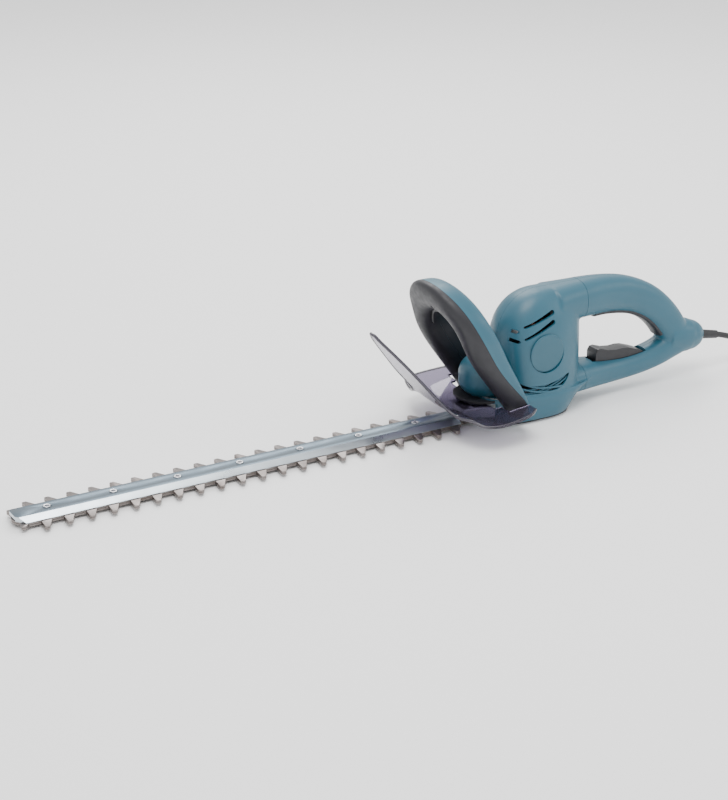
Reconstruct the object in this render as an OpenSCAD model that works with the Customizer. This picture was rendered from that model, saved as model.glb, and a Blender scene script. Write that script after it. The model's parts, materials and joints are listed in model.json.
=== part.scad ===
/* [Blade] */
// Distance from one blade tooth to the next
tooth_pitch = 25.9; // [20:0.1:32]
// Teeth on each side behind the small tip tooth
tooth_count = 21; // [8:1:24]
// Distance of the tooth tips from the centre line
tooth_reach = 35.5; // [28:0.5:42]
// Thickness of each shear blade
blade_t = 2; // [1.5:0.1:2.2]
// Half width of the blade spine
spine_w = 19; // [17:0.5:20]
// Stroke of each shear blade to either side of the middle
stroke = 6; // [3:0.5:6]
// Thickness of the guide bar over the blades
bar_h = 3.6; // [3.2:0.2:5]
// Teeth between two blade screws
screw_every = 3; // [2:1:4]

/* [Motor] */
// Position of the motor axis along the tool
motor_x = 200; // [198:1:202]
// Radius of the armature core
armature_r = 17; // [15:0.5:18]
// Length of the armature core
armature_len = 34; // [26:1:36]
// Radius of the fan
fan_r = 30; // [24:1:33]
// Blades on the fan
fan_blades = 12; // [6:1:16]

/* [Gears] */
// Teeth on the motor pinion
pinion_teeth = 9; // [8:1:9]
// Teeth on the crank gear
gear_teeth = 63; // [56:1:63]
// Width of the crank gear
gear_w = 8; // [6:0.5:9]

/* [Housing] */
// Half width of the motor housing
housing_w = 45; // [44:0.5:47]
// Height of the motor housing
housing_top = 155; // [150:1:158]
// Wall of the plastic shells
wall = 2.8; // [2.4:0.1:3.2]
// Half width of the skirt under the motor housing
skirt_w = 47; // [46:0.5:50]
// Height of the skirt
skirt_h = 34; // [33:0.5:34]

/* [Rear handle] */
// Half width of the handle bars
handle_w = 18; // [17:0.5:20]
// Angle that the trigger turns when it is squeezed
trigger_angle = 6; // [3:0.5:6]

/* [Front handle] */
// Half width of the front handle loop
loop_w = 68; // [64:1:72]
// Height of the front handle loop
loop_top = 186; // [180:1:190]
// Half width of the opening of the front handle
loop_in = 36; // [34:1:38]
// Travel of the front switch lever
lever_travel = 4; // [2:0.5:4]

/* [Guard] */
// Half width of the guard apron
guard_w = 98; // [90:1:104]
// Half width of the guard tongue
tongue_w = 31; // [26:1:36]
// Height of the tip of the guard tongue
tongue_top = 136; // [120:1:140]
// Thickness of the guard
guard_t = 2.6; // [2.2:0.2:3]

/* [Cord] */
// Diameter of the power cord
cord_d = 7.6; // [6:0.2:8.4]

/* [Hidden] */

$fn = 48;

// Blade stack, from the floor up
tip_x = -471;
first_tip = -443;
// Place of the origin behind the drawing's own zero
origin_x = 10;
lower_z = 3.2;
upper_z = 5.5;
bar_z = 9.8;
// Flanks, flat top and narrow rear of the guide bar, as half widths
bar_half = 19.5;
bar_top_half = 12;
neck_half = 9;
neck_x = 89;
head_z = 0.5;
sleeve_r = 4;
slot_r = sleeve_r + 0.4;
pitch_screws = tooth_pitch * screw_every;
screw_x = [for (i = [0:6]) first_tip + tooth_pitch * 0.5 + i * pitch_screws];

// Gear train
gear_c = (pinion_teeth + gear_teeth) / 2;
crank_x = motor_x - gear_c;
gear_z = 20;
ecc_r = 11;
yoke_in = ecc_r + 2 * stroke + 0.5;
yoke_out = yoke_in + 4.5;

// Seam between the motor housing and the rear handle
seam_x = 265;
hinge = [362, 40];
big = 400;

// Small helpers
function spow(v, p) = sign(v) * pow(abs(v), p);
function ease(t) = t <= 0 ? 0 : t >= 1 ? 1 : t * t * (3 - 2 * t);
function quarter(t, n) = pow(max(0, 1 - pow(min(1, max(0, t)), n)), 1 / n);
function cat(a, b, c, d, t) =
  0.5 * (2 * b + (c - a) * t + (2 * a - 5 * b + 4 * c - d) * t * t
  + (3 * b - a - 3 * c + d) * t * t * t);
function at(p, u) =
  let (n = len(p) - 1, i = min(n - 1, floor(u)), t = u - i)
  cat(p[max(0, i - 1)], p[i], p[i + 1], p[min(n, i + 2)], t);
function unit(v) = v / norm(v);

// Outline of the motor housing: half width and top height along the tool
function house_w(x) = x < 200
  ? housing_w * quarter((200 - x) / 50, 3.2)
  : housing_w - (housing_w - 20) * ease((x - 208) / 82);
function house_top(x) = x < 195
  ? 112 + (housing_top - 112) * quarter((195 - x) / 45, 2.6)
  : housing_top;

// A closed body through a list of rings with the same number of points
module loft(rings) {
  n = len(rings[0]);
  m = len(rings);
  polyhedron(
    points = [for (r = rings) each r],
    faces = concat(
      [[for (j = [0:n - 1]) j]],
      [[for (j = [n - 1:-1:0]) (m - 1) * n + j]],
      [for (i = [0:m - 2], j = [0:n - 1]) [i * n + j, (i + 1) * n + j, i * n + (j + 1) % n]],
      [for (i = [0:m - 2], j = [0:n - 1])
        [i * n + (j + 1) % n, (i + 1) * n + j, (i + 1) * n + (j + 1) % n]]),
    convexity = 8);
}

// A bent body as a chain of convex pieces, one between each pair of rings
module chain(rings) {
  for (i = [0:len(rings) - 2]) hull() loft([rings[i], rings[i + 1]]);
}

// One side of the centre plane: -1 is the left side, 1 is the right side
module half(side) {
  translate([-big, side < 0 ? -big : 0, -big]) cube([big * 3, big, big * 2]);
}

// Ring of the motor housing at x, set in by t
function house_ring(x, t, n) =
  let (w = max(0.6, house_w(x) - t), top = house_top(x) - t, low = skirt_h - (t > 0 ? 5 : 0))
  [for (j = [0:n - 1])
    let (a = 180 * j / (n - 1))
    [x, w * spow(cos(a), 2 / 3), low + (top - low) * spow(sin(a), 2 / 3)]];

module house_solid(t) {
  x0 = 150 + t;
  xs = [x0 + 0.02, x0 + 0.8, x0 + 3, x0 + 7, x0 + 13, x0 + 21, x0 + 32, x0 + 46, 212, 228, 242,
    254, t > 0 ? seam_x + 5 : seam_x];
  loft([for (x = xs) house_ring(x, t, 17)]);
}

// A long slot through the side wall from point a to point b, tapering to the front
module slit(a, b, r1, r2, y) {
  hull() {
    translate([a[0], y, a[1]]) rotate([90, 0, 0]) cylinder(r = r1, h = 26, center = true, $fn = 12);
    translate([b[0], y, b[1]]) rotate([90, 0, 0]) cylinder(r = r2, h = 26, center = true, $fn = 12);
  }
}

// Screw bosses: along, height and half width at the wall
house_bosses = [[238, 142, 23], [238, 44, 35.5]];

module boss(p, r, side) {
  translate([p[0], 0, p[1]]) rotate([side * -90, 0, 0]) cylinder(r = r, h = p[2], $fn = 24);
}

module boss_hole(p, head, side) {
  translate([p[0], 0, p[1]]) rotate([side * -90, 0, 0]) {
    translate([0, 0, -1]) cylinder(r = 1.9, h = 13, $fn = 24);
    if (side > 0) translate([0, 0, head]) cylinder(r = 3.3, h = 60, $fn = 24);
  }
}

module house_half(side) {
  difference() {
    union() {
      intersection() {
        difference() {
          house_solid(0);
          house_solid(wall);
        }
        half(side);
      }
      for (p = house_bosses) boss(p, 4.4, side);
    }
    for (p = house_bosses) boss_hole(p, 11, side);
    slit([169, 120], [207, 133], 1.2, 2.3, side * 38);
    slit([168, 106], [206, 122], 1.2, 2.3, side * 38);
    slit([155, 121.5], [165, 120.5], 2, 2, side * 32);
    slit([155, 109], [165, 106], 2, 2, side * 32);
    slit([160, 52], [170, 48], 0.8, 1.6, side * 38);
    slit([170, 44], [178, 39], 1, 1.8, side * 38);
    slit([183, 44], [194, 41], 1, 1.6, side * 38);
    slit([202, 41], [222, 43], 1, 2, side * 38);
    slit([210, 36.6], [220, 37.4], 1, 1.4, side * 38);
    translate([195, side * (housing_w + 5.6), 85])
      rotate([90, 0, 0]) cylinder(r = 24.2, h = 15, center = true, $fn = 64);
  }
}

// Left shell of the motor housing
module housing_left() {
  color("#4b7f92") house_half(-1);
}

// Right shell of the motor housing
module housing_right() {
  color("#4b7f92") house_half(1);
}

// Rear handle: centre points, half heights and half widths of the two bars
upper_path = [[255, 131], [280, 131], [304, 130], [328, 126.5], [350, 120], [371, 109.5],
  [389, 95.5], [404, 79], [416, 61]];
upper_h = [24, 24, 23.5, 23, 22, 21.5, 21, 21, 21];
upper_w = [27, 24, 21, 19, 18, 18, 18, 18, 18.5];
lower_path = [[255, 31], [280, 30], [306, 28.5], [335, 28.5], [364, 31], [390, 36], [412, 44],
  [430, 51]];
lower_h = [19, 18, 16.5, 15.5, 15.5, 16, 17.5, 19];
lower_w = [30, 25, 20.5, 18, 17.5, 17.5, 17.5, 18];
nose_path = [[406, 57], [424, 54], [438, 51.5], [440, 51.2], [450, 49.6], [457, 48.4], [462, 47.6],
  [463, 47.4]];
nose_r = [22, 22.5, 21.5, 20.5, 18.5, 15, 10.5, 8];

function tube_ring(p, d, h, w, n, e) =
  [for (j = [0:n - 1])
    let (a = 360 * j / n, s = h * spow(sin(a), 2 / e), c = w * spow(cos(a), 2 / e))
    [p[0] - s * d[1], c, p[1] + s * d[0]]];

module bar(path, hs, ws, t, e, steps) {
  k = len(path) - 1;
  loft([for (i = [0:k * steps])
    let (u = i / steps, d = unit(at(path, min(k, u + 0.05)) - at(path, max(0, u - 0.05))))
    tube_ring(at(path, u), d, at(hs, u) - t, at(ws, u) - t * handle_w / 18, 20, e)]);
}

module handle_block(t) {
  loft([for (x = [seam_x - (t > 0 ? 8 : 0), 268 - t, 271 - t, 273.5 - t])
    let (w = house_w(x) - t - (x > 270 - t ? (x + t - 270) * 1.2 : 0))
    [for (j = [0:23])
      let (a = 360 * j / 24)
      [x, w * spow(cos(a), 2 / 4.5), 83.5 + (71 - t) * spow(sin(a), 2 / 4.5)]]]);
}

module handle_solid(t) {
  bar(upper_path, upper_h, upper_w, t, 2.5, 2);
  bar(lower_path, lower_h, lower_w, t, 2.6, 2);
  handle_block(t);
  if (t == 0) bar(nose_path, nose_r, nose_r * 0.9, 0, 2.2, 1);
  else bar([for (i = [0:3]) nose_path[i]], nose_r, nose_r * 0.9, t, 2.2, 1);
}

// Band of soft grip along the inside of the upper bar
grip_path = [for (i = [1:8]) upper_path[i]];
grip_h = [for (i = [1:8]) upper_h[i]];
grip_w = [for (i = [1:8]) upper_w[i]];

module grip_band(t, out) {
  loft([for (i = [0.3:0.5:6.3])
    let (d = unit(at(grip_path, i + 0.05) - at(grip_path, i - 0.05)), p = at(grip_path, i),
      h = at(grip_h, i), w = at(grip_w, i) + out)
    [for (j = [0:11])
      let (a = 30 * j, s = -h + 3.2 + (4.6 - t) * spow(sin(a), 0.6),
        c = (w * 0.62 - t) * spow(cos(a), 0.8))
      [p[0] - s * d[1], c, p[1] + s * d[0]]]]);
}

handle_bosses = [[318, 126, 18.4], [396, 88, 16.4], [284, 24, 22.6], [400, 40, 16.2]];

module handle_half(side) {
  difference() {
    union() {
      intersection() {
        difference() {
          handle_solid(0);
          handle_solid(wall);
          translate([0, -big, -big]) cube([seam_x + 0.15, 2 * big, 2 * big]);
        }
        half(side);
      }
      for (p = handle_bosses) boss(p, 4, side);
    }
    for (p = handle_bosses) boss_hole(p, 8, side);
    grip_band(-0.2, 1.2);
    translate([286, -10.4, 36]) cube([84, 20.8, 40]);
    translate([hinge[0], 0, hinge[1]]) rotate([90, 0, 0])
      cylinder(r = 2.1, h = 34, center = true, $fn = 24);
    translate([462, 0, 47.6]) rotate([0, 101, 0]) cylinder(r = 6.3, h = 40, center = true);
    skirt_solid(0.15);
  }
}

// Left shell of the rear handle
module handle_left() {
  color("#4b7f92") handle_half(-1);
}

// Right shell of the rear handle
module handle_right() {
  color("#4b7f92") handle_half(1);
}

// Soft grip strip inside the rear handle
module grip_pad() {
  color("#2b2b30") grip_band(0, 1.2);
}

// Skirt: a tub under the motor housing that holds the gear case
function skirt_ring(z, t) =
  let (q = z < 12 ? quarter((12 - z) / 24, 2) : 1,
    x0 = 118 + (1 - q) * 12 + t, x1 = 292 - 46 * quarter(z / 36, 1.5) - t,
    w = skirt_w - (1 - q) * 30 - (z > 30 ? (z - 30) * 0.5 : 0) - t)
  [for (j = [0:31])
    let (a = 360 * j / 32, c = spow(cos(a), 2 / 3.2), s = spow(sin(a), 2 / 3.2))
    [c > 0 ? 200 + c * (x1 - 200) : 200 + c * (200 - x0),
      w * s * (c > 0 ? 1 - 0.35 * c * c : 1), z]];

module skirt_solid(g) {
  loft([for (z = [2.8, 6, 10, 16, 22, 28, 31, skirt_h]) skirt_ring(z, -g)]);
}

module skirt_cavity() {
  loft([for (z = [2, 8, 16, 24, 31, skirt_h + 1]) skirt_ring(max(3, z), wall + 0.4) +
    [for (j = [0:31]) [0, 0, z - max(3, z)]]]);
}

// Skirt of the tool below the motor housing
module skirt() {
  color("#4b7f92") difference() {
    skirt_solid(0);
    skirt_cavity();
    for (s = [-1, 1]) translate([100, s > 0 ? 40.6 : -62.6, 19.6]) cube([58, 22, 20]);
    translate([90, -36, 0]) cube([40, 72, 30]);
  }
}

base_points = [[142, 28], [142, -28], [226, 24], [226, -24]];

// Flat cover under the skirt, on which the tool rests
module base_plate() {
  color("#33363a") difference() {
    linear_extrude(2.6) polygon([for (j = [0:47])
      let (a = 7.5 * j, c = spow(cos(a), 0.6), s = spow(sin(a), 0.6))
      [187 + 57 * c, 40 * s]]);
    for (p = base_points) translate([p[0], p[1], -1]) {
      cylinder(r = 1.8, h = 10, $fn = 24);
      cylinder(r = 3.3, h = 2.4, $fn = 24);
    }
    translate([crank_x, 0, 1.4]) cylinder(r = yoke_out + stroke + 0.8, h = 5);
    translate([120, -18, 1.4]) cube([crank_x - 120, 36, 5]);
  }
}

// Nose: rounded cover in front of the motor housing
module nose_form(g) {
  loft([for (z = [34.2, 38, 44, 52, 62, 72, 80, 84])
    let (q = quarter((52 - z) / 26, 2) * quarter((z - 60) / 26, 2.4), w = 29 * q + g,
      x0 = 146 - 45 * q - g)
    [for (j = [0:23])
      let (a = 90 + 180 * j / 23)
      [149.8 + (149.8 - x0) * spow(cos(a), 0.85), w * spow(sin(a), 0.85), z]]]);
}

module nose_cover() {
  color("#4b7f92") difference() {
    nose_form(0);
    nose_form(-wall);
    translate([110, -16, 30]) cube([60, 32, 10]);
  }
}

// Dark collar in front of the skirt, round the foot of the nose
function skirt_front(y) = 200 - 82.3 * quarter(abs(y) / (skirt_w + 0.3), 3.2);

module nose_collar() {
  color("#1d1d20") translate([0, 0, 31.8]) linear_extrude(2.2) polygon(concat(
    [for (j = [0:20]) let (a = -90 + 9 * j) [128 - 31 * pow(cos(a), 0.85), 33 * spow(sin(a), 0.85)]],
    [for (y = [30:-6:-30]) [skirt_front(y), y]]));
}

// Plain round badge on each side
module badge(side) {
  translate([195, side * (housing_w - 1), 85]) rotate([side * -90, 0, 0]) difference() {
    translate([0, 0, -0.8]) cylinder(r = 23.8, h = 2.4, $fn = 64);
    translate([0, 0, 1]) cylinder(r = 21.8, h = 2.4, $fn = 64);
  }
}

module badge_left() {
  color("#44788a") badge(-1);
}

module badge_right() {
  color("#44788a") badge(1);
}

// Front handle loop: front and rear edges of the loop at each height
function loop_front(z) = lookup(z, [[20, 136], [40, 122], [60, 107], [82, 91], [97, 81],
  [112, 73], [139, 63], [160, 52], [178, 44], [190, 40]]);
function loop_back(z) = lookup(z, [[20, 157], [40, 153], [55, 147], [96, 125], [141, 103],
  [162, 93], [175, 86], [186, 79], [190, 77]]);
function loop_seam(z) = loop_back(z) - lookup(z, [[20, 2], [40, 3], [51, 9], [70, 16], [88, 20],
  [125, 23], [190, 25]]);

// Outer and inner points of the loop, from the left foot over the top to the right foot
function loop_out(u) = abs(u) < 90
  ? [loop_w * spow(sin(u), 0.91), 112 + (loop_top - 112) * pow(cos(u), 0.91)]
  : [sign(u) * loop_w, 112 - (abs(u) - 90) * 92 / 60];
function loop_inn(u) = abs(u) < 90
  ? [loop_in * spow(sin(u), 0.91), 106 + 42 * pow(cos(u), 0.91)]
  : [sign(u) * (loop_in + 5.4 * ease((abs(u) - 90) / 60)), 106 - (abs(u) - 90) * 86 / 60];

loop_u = [-150, -138, -126, -114, -102, -90, -75, -60, -45, -30, -15, 0, 15, 30, 45, 60, 75, 90,
  102, 114, 126, 138, 150];

function loop_x(z, which, f, t) =
  let (s = loop_seam(z))
  which > 0 ? s + 0.1 + f * max(0.4, loop_back(z) - s - 0.1 - t)
  : s - 0.1 - f * (s - 0.1 - loop_front(z) - t);

function loop_arc(u, t, which, n, e) =
  let (o = loop_out(u), i = loop_inn(u), c = (o + i) / 2, r = (o - i) / 2,
    rr = r * (1 - t / norm(r)))
  [for (j = [0:n - 1])
    let (a = 180 * j / (n - 1) - 90, p = c + spow(sin(a), 2 / e) * rr)
    [loop_x(p[1], which, pow(max(0, cos(a)), 2 / e), t), p[0], p[1]]];

function flip(v) = [for (i = [len(v) - 1:-1:0]) v[i]];

// Half of the hollow loop, and the solid block in each foot of the front half
module loop_half(which, e) {
  loft([for (u = loop_u)
    let (r = concat(loop_arc(u, 0, which, 11, e), flip(loop_arc(u, wall, which, 11, e))))
    which > 0 ? flip(r) : r]);
}

module loop_foot() {
  for (us = [[-149.9, -140, -131], [131, 140, 149.9]])
    loft([for (u = us) loop_arc(u, 0.6, -1, 9, 2.6)]);
}

// Black front shell of the front handle
module front_loop_front() {
  color("#2c2c31") difference() {
    union() {
      loop_half(-1, 2.6);
      loop_foot();
    }
    lever_form(1.3, lever_travel + 0.8);
    for (s = [-1, 1]) translate([146, s * 54, 10]) cylinder(r = 2, h = 22, $fn = 24);
  }
}

// Coloured rear shell of the front handle
module front_loop_rear() {
  color("#4b7f92") difference() {
    loop_half(1, 4);
    lever_form(1.3, lever_travel + 0.8);
  }
}

// Switch lever inside the top of the front handle
module lever_form(g, up) {
  ends = g > 0 ? 6 : 5;
  chain([for (k = [-ends:ends])
    let (u = abs(k) == 6 ? sign(k) * 76 : k * 14, i = loop_inn(u), o = loop_out(u), d = unit(o - i),
      a = i - d * (3 + g),
      b = i + d * (6 + g) + [0, up], zc = i[1], x0 = loop_front(zc) + 11 - g,
      x1 = loop_back(zc) - 10 + g)
    [[x0, b[0], b[1]], [x1, b[0], b[1]], [x1, a[0], a[1]], [x0, a[0], a[1]]]]);
}

module front_lever() {
  color("#222226") lever_form(0, 0);
}

// Clear guard: a wide apron with a tongue that rises in front of the handle
guard_path = [[152, 31], [140, 29.5], [120, 27.5], [100, 26], [86, 25.5], [76, 26.5], [67, 31],
  [58, 39.5], [46, 53], [28, 74], [10, 96], [-6, 115], [-17, 128], [-22, tongue_top - 1],
  [-23.5, tongue_top]];
guard_half = [84, 93, 97, 98, 95, 88, 72, 42, 33, 31.5, 25.5, 17, 9.5, 4.5, 2];

function guard_row(i, t, n) =
  let (p = guard_path[i], a = guard_path[max(0, i - 1)], b = guard_path[min(14, i + 1)],
    d = unit(b - a), nr = [-d[1], d[0]], w = guard_half[i] * (i < 8 ? guard_w / 98
      : tongue_w / 31))
  [for (j = [0:n - 1])
    let (v = 2 * j / (n - 1) - 1, y = v * w,
      lift = i < 9 ? 5 * ease(abs(y) / 70) * (1 - ease((i - 5) / 3)) : 0,
      drop = i > 5 && i < 9 ? -ease((abs(y) - 30) / 30) * (p[1] - 31) : 0)
    [p[0] + nr[0] * t, y, p[1] + nr[1] * t + lift + drop]];

module guard_form(g) {
  n = 15;
  m = 15;
  top = [for (i = [0:m - 1]) each guard_row(i, guard_t / 2 + g, n)];
  low = [for (i = [0:m - 1]) each guard_row(i, -guard_t / 2 - g, n)];
  q = m * n;
  polyhedron(
    points = concat(top, low),
    faces = concat(
      [for (i = [0:m - 2], j = [0:n - 2]) [i * n + j, i * n + j + 1, (i + 1) * n + j]],
      [for (i = [0:m - 2], j = [0:n - 2])
        [i * n + j + 1, (i + 1) * n + j + 1, (i + 1) * n + j]],
      [for (i = [0:m - 2], j = [0:n - 2])
        [q + i * n + j, q + (i + 1) * n + j, q + i * n + j + 1]],
      [for (i = [0:m - 2], j = [0:n - 2])
        [q + i * n + j + 1, q + (i + 1) * n + j, q + (i + 1) * n + j + 1]],
      [for (i = [0:m - 2]) each [[i * n, (i + 1) * n, q + i * n],
        [(i + 1) * n, q + (i + 1) * n, q + i * n]]],
      [for (i = [0:m - 2]) each [[i * n + n - 1, q + i * n + n - 1, (i + 1) * n + n - 1],
        [(i + 1) * n + n - 1, q + i * n + n - 1, q + (i + 1) * n + n - 1]]],
      [for (j = [0:n - 2]) each [[j, q + j, j + 1], [j + 1, q + j, q + j + 1]]],
      [for (j = [0:n - 2]) each [[(m - 1) * n + j, (m - 1) * n + j + 1, q + (m - 1) * n + j],
        [(m - 1) * n + j + 1, q + (m - 1) * n + j + 1, q + (m - 1) * n + j]]]),
    convexity = 8);
}

module guard() {
  color([0.42, 0.38, 0.48, 0.6]) difference() {
    guard_form(0);
    translate([117.4, -50, 0]) cube([60, 100, 60]);
    for (s = [-1, 1]) {
      translate([125, s > 0 ? 40 : -68.8, 10]) cube([40, 28.8, 40]);
      translate([106, s * 13.5, 10]) cylinder(r = 1.7, h = 30, $fn = 24);
    }
  }
}

// Gear housing: casting that carries the bar, the crank and the motor
module gear_housing() {
  color("#a9adb1") difference() {
    union() {
      translate([0, 0, 10]) linear_extrude(12.5) polygon([[94, -18], [112, -18], [138, -33],
        [150, -39], [214, -39], [232, -26], [240, -16], [240, 16], [232, 26], [214, 39],
        [150, 39], [138, 33], [112, 18], [94, 18]]);
      translate([0, 0, 10]) linear_extrude(case_step - 10) polygon([[129, -22], [142, -36], [214, -38],
        [232, -25], [239, -16], [239, 16], [232, 25], [214, 38], [142, 36], [129, 22]]);
      translate([0, 0, case_step - 1]) linear_extrude(case_top - case_step + 1) polygon([[153.2, -6],
        [157, -18], [167, -31], [214, -36], [232, -23], [239, -14], [239, 14], [232, 23], [214, 36],
        [167, 31], [157, 18], [153.2, 6]]);
      for (s = [-1, 1]) translate([106, s * 13.5, 20]) cylinder(r = 3.6, h = 4.4, $fn = 24);
    }
    // Yoke room
    translate([crank_x, 0, 9]) cylinder(r = yoke_out + stroke + 0.6, h = 3.4);
    translate([92, -9, 9]) cube([crank_x - 92, 18, 3.4]);
    // Gear room
    translate([crank_x, 0, gear_z - 1.5]) cylinder(r = gear_teeth / 2 + 2.6, h = gear_w + 3);
    translate([motor_x, 0, gear_z - 1.5]) cylinder(r = pinion_teeth / 2 + 2.6, h = gear_w + 5);
    translate([motor_x, 0, gear_z - 1.5]) cylinder(r = 5, h = 30);
    // Bearing seats
    translate([crank_x, 0, 12.4]) cylinder(r = 13, h = 5);
    translate([crank_x, 0, 12.4]) cylinder(r = 6, h = 30);
    translate([crank_x, 0, 31]) cylinder(r = 9.5, h = 6);
    translate([motor_x, 0, 32.5]) cylinder(r = 11, h = 7.5);
    // Seat of the guide bar
    translate([90, -9.4, 9]) cube([32, 18.8, bar_z + bar_h - 8.8]);
    for (p = base_points) translate([p[0], p[1], 5]) cylinder(r = 1.8, h = 13, $fn = 24);
    for (p = case_points) translate([p[0], p[1], 20]) cylinder(r = 2, h = 50, $fn = 24);
    for (x = bar_points) translate([x, 0, 12]) cylinder(r = 2.6, h = 13, $fn = 24);
    for (s = [-1, 1]) translate([106, s * 13.5, 14]) cylinder(r = 1.7, h = 20, $fn = 24);
  }
}

// Heights of the low front and the high rear of the gear housing
case_step = 33.4;
case_top = 39;
case_points = [[226, 18], [226, -18], [143, 32], [143, -32]];
bar_points = [98, 111];

// Guide bar over the blades
module guide_bar() {
  color("#75828c") difference() {
    intersection() {
      rotate([90, 0, 90]) translate([0, 0, -470]) linear_extrude(590)
        polygon([[-8.5, bar_z], [8.5, bar_z], [8.5, bar_z - 1.9], [bar_half, bar_z - 1.9],
          [bar_half, bar_z - 1.3], [bar_top_half, bar_z + bar_h], [-bar_top_half, bar_z + bar_h],
          [-bar_half, bar_z - 1.3], [-bar_half, bar_z - 1.9], [-8.5, bar_z - 1.9]]);
      linear_extrude(40) polygon([[-470, -8], [-461, -20], [neck_x, -20], [neck_x, -neck_half],
        [120, -neck_half], [120, neck_half], [neck_x, neck_half], [neck_x, 20], [-461, 20],
        [-470, 8]]);
    }
    for (x = screw_x) translate([x, 0, 0]) {
      cylinder(r = 2.6, h = 40, $fn = 24);
      translate([0, 0, bar_z + bar_h - 1.2]) cylinder(r = 5.2, h = 10, $fn = 32);
    }
    for (x = bar_points) translate([x, 0, 0]) cylinder(r = 2.6, h = 40, $fn = 24);
  }
}

// Spacer sleeves on which the blades slide
module blade_sleeves() {
  color("#b9bcc0") for (x = screw_x) translate([x, 0, lower_z - 0.3]) difference() {
    cylinder(r = sleeve_r, h = bar_z - lower_z + 0.3, $fn = 32);
    translate([0, 0, -1]) cylinder(r = 2.55, h = 20, $fn = 32);
  }
}

// Blade screws with flat heads below
module blade_screws() {
  color("#3a3d42") for (x = screw_x) translate([x, 0, head_z]) {
    cylinder(r = 6.5, h = 2.4, $fn = 32);
    translate([0, 0, 2]) cylinder(r = 2.5, h = bar_z + bar_h - head_z - 0.8, $fn = 32);
  }
}

// Hexagon nuts let into the bar
module blade_nuts() {
  color("#c4c8cc") for (x = screw_x) translate([x, 0, bar_z + bar_h - 1.1]) difference() {
    cylinder(r = 4.6, h = 2.1, $fn = 6);
    translate([0, 0, -1]) cylinder(r = 2.55, h = 10, $fn = 32);
  }
}

// Toothed blade: spine and raked teeth on both sides
module tooth(x, y0, y1) {
  polygon([[x - 1.2, y0 - 1], [x - 3, y1 - 1.2], [x - 1.8, y1], [x + 1.8, y1], [x + 3, y1 - 1.2],
    [x + 12, y0 - 1]]);
}

module blade_outline(rear) {
  polygon([[tip_x + 2, -7], [tip_x, 0], [tip_x + 2, 7], [tip_x + 10, spine_w], [neck_x, spine_w],
    [neck_x + 2, 12], [rear, 12], [rear, -12], [neck_x + 2, -12], [neck_x, -spine_w],
    [tip_x + 10, -spine_w]]);
  for (s = [0, 1]) mirror([0, s, 0]) {
    for (k = [0:tooth_count - 1]) tooth(first_tip + k * tooth_pitch, spine_w, tooth_reach);
    tooth(tip_x + 6, spine_w - 4, 24);
  }
}

module blade(z, rear, holes) {
  translate([0, 0, z]) linear_extrude(blade_t) difference() {
    blade_outline(rear);
    for (x = screw_x) {
      translate([x - stroke, 0]) circle(r = slot_r, $fn = 32);
      translate([x + stroke, 0]) circle(r = slot_r, $fn = 32);
      translate([x - stroke, -slot_r]) square([2 * stroke, 2 * slot_r]);
    }
    for (x = holes) translate([x, 0]) circle(r = 2.05, $fn = 32);
  }
}

module upper_blade() {
  color("#8d8784") blade(upper_z, 96, [76, 88]);
}

module lower_blade() {
  color("#7f7a78") blade(lower_z, 126, [113, 121]);
}

// Yokes that the eccentrics drive
module yoke_ring(z, h) {
  translate([crank_x, 0, z]) difference() {
    cylinder(r = yoke_out, h = h, $fn = 64);
    translate([0, 0, -1]) cylinder(r = yoke_in, h = h + 2, $fn = 64);
  }
}

module upper_yoke() {
  color("#9aa0a6") {
    difference() {
      union() {
        yoke_ring(8, 3.8);
        translate([70, -7, upper_z + blade_t]) cube([crank_x - yoke_out - 69, 14, 1.9]);
        translate([127, -7, 8]) cube([crank_x - yoke_out - 124, 14, 3.8]);
      }
      for (x = [76, 88]) translate([x, 0, 0]) cylinder(r = 2.05, h = 30, $fn = 32);
      translate([crank_x, 0, 0]) cylinder(r = yoke_in, h = 20, $fn = 64);
    }
  }
}

module lower_yoke() {
  color("#9aa0a6") {
    difference() {
      union() {
        yoke_ring(lower_z, 3.8);
        translate([109, -10, lower_z + blade_t]) cube([crank_x - yoke_out - 106, 20, 1.8]);
        translate([126.2, -10, lower_z]) cube([crank_x - yoke_out - 123, 20, 3.8]);
      }
      for (x = [113, 121]) translate([x, 0, 0]) cylinder(r = 2.05, h = 30, $fn = 32);
      translate([crank_x, 0, 0]) cylinder(r = yoke_in, h = 20, $fn = 64);
    }
  }
}

// Rivets between each blade and its yoke
module upper_rivets() {
  color("#c4c8cc") for (x = [76, 88]) translate([x, 0, upper_z]) cylinder(r = 2, h = 3.9, $fn = 32);
}

module yoke_rivets() {
  color("#c4c8cc") for (x = [113, 121]) translate([x, 0, lower_z - 0.8]) {
    cylinder(r = 2, h = 4.6, $fn = 32);
    cylinder(r = 3.2, h = 0.8, $fn = 32);
  }
}

// Gear wheel outline with slim teeth
module gear_2d(n, phase) {
  r = n / 2;
  union() {
    circle(r = r - 1.15, $fn = 96);
    for (i = [0:n - 1]) rotate(phase + i * 360 / n)
      polygon([[r - 1.4, -0.85], [r - 0.2, -0.56], [r + 0.75, -0.26], [r + 0.75, 0.26],
        [r - 0.2, 0.56], [r - 1.4, 0.85]]);
  }
}

module pinion() {
  color("#9aa0a6") translate([motor_x, 0, gear_z - 0.8]) difference() {
    linear_extrude(gear_w + 1.6) gear_2d(pinion_teeth, 180);
    translate([0, 0, -1]) cylinder(r = 2.5, h = 20);
  }
}

module crank_gear() {
  color("#8a7f6c") translate([crank_x, 0, gear_z]) difference() {
    linear_extrude(gear_w) difference() {
      gear_2d(gear_teeth, 180 / gear_teeth);
      circle(r = 5);
      for (a = [0:60:300]) rotate(a + 30) translate([19, 0]) circle(r = 5);
    }
    translate([0, 0, gear_w - 2]) difference() {
      cylinder(r = 27, h = 4);
      translate([0, 0, -1]) cylinder(r = 10, h = 6);
    }
  }
}

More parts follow.
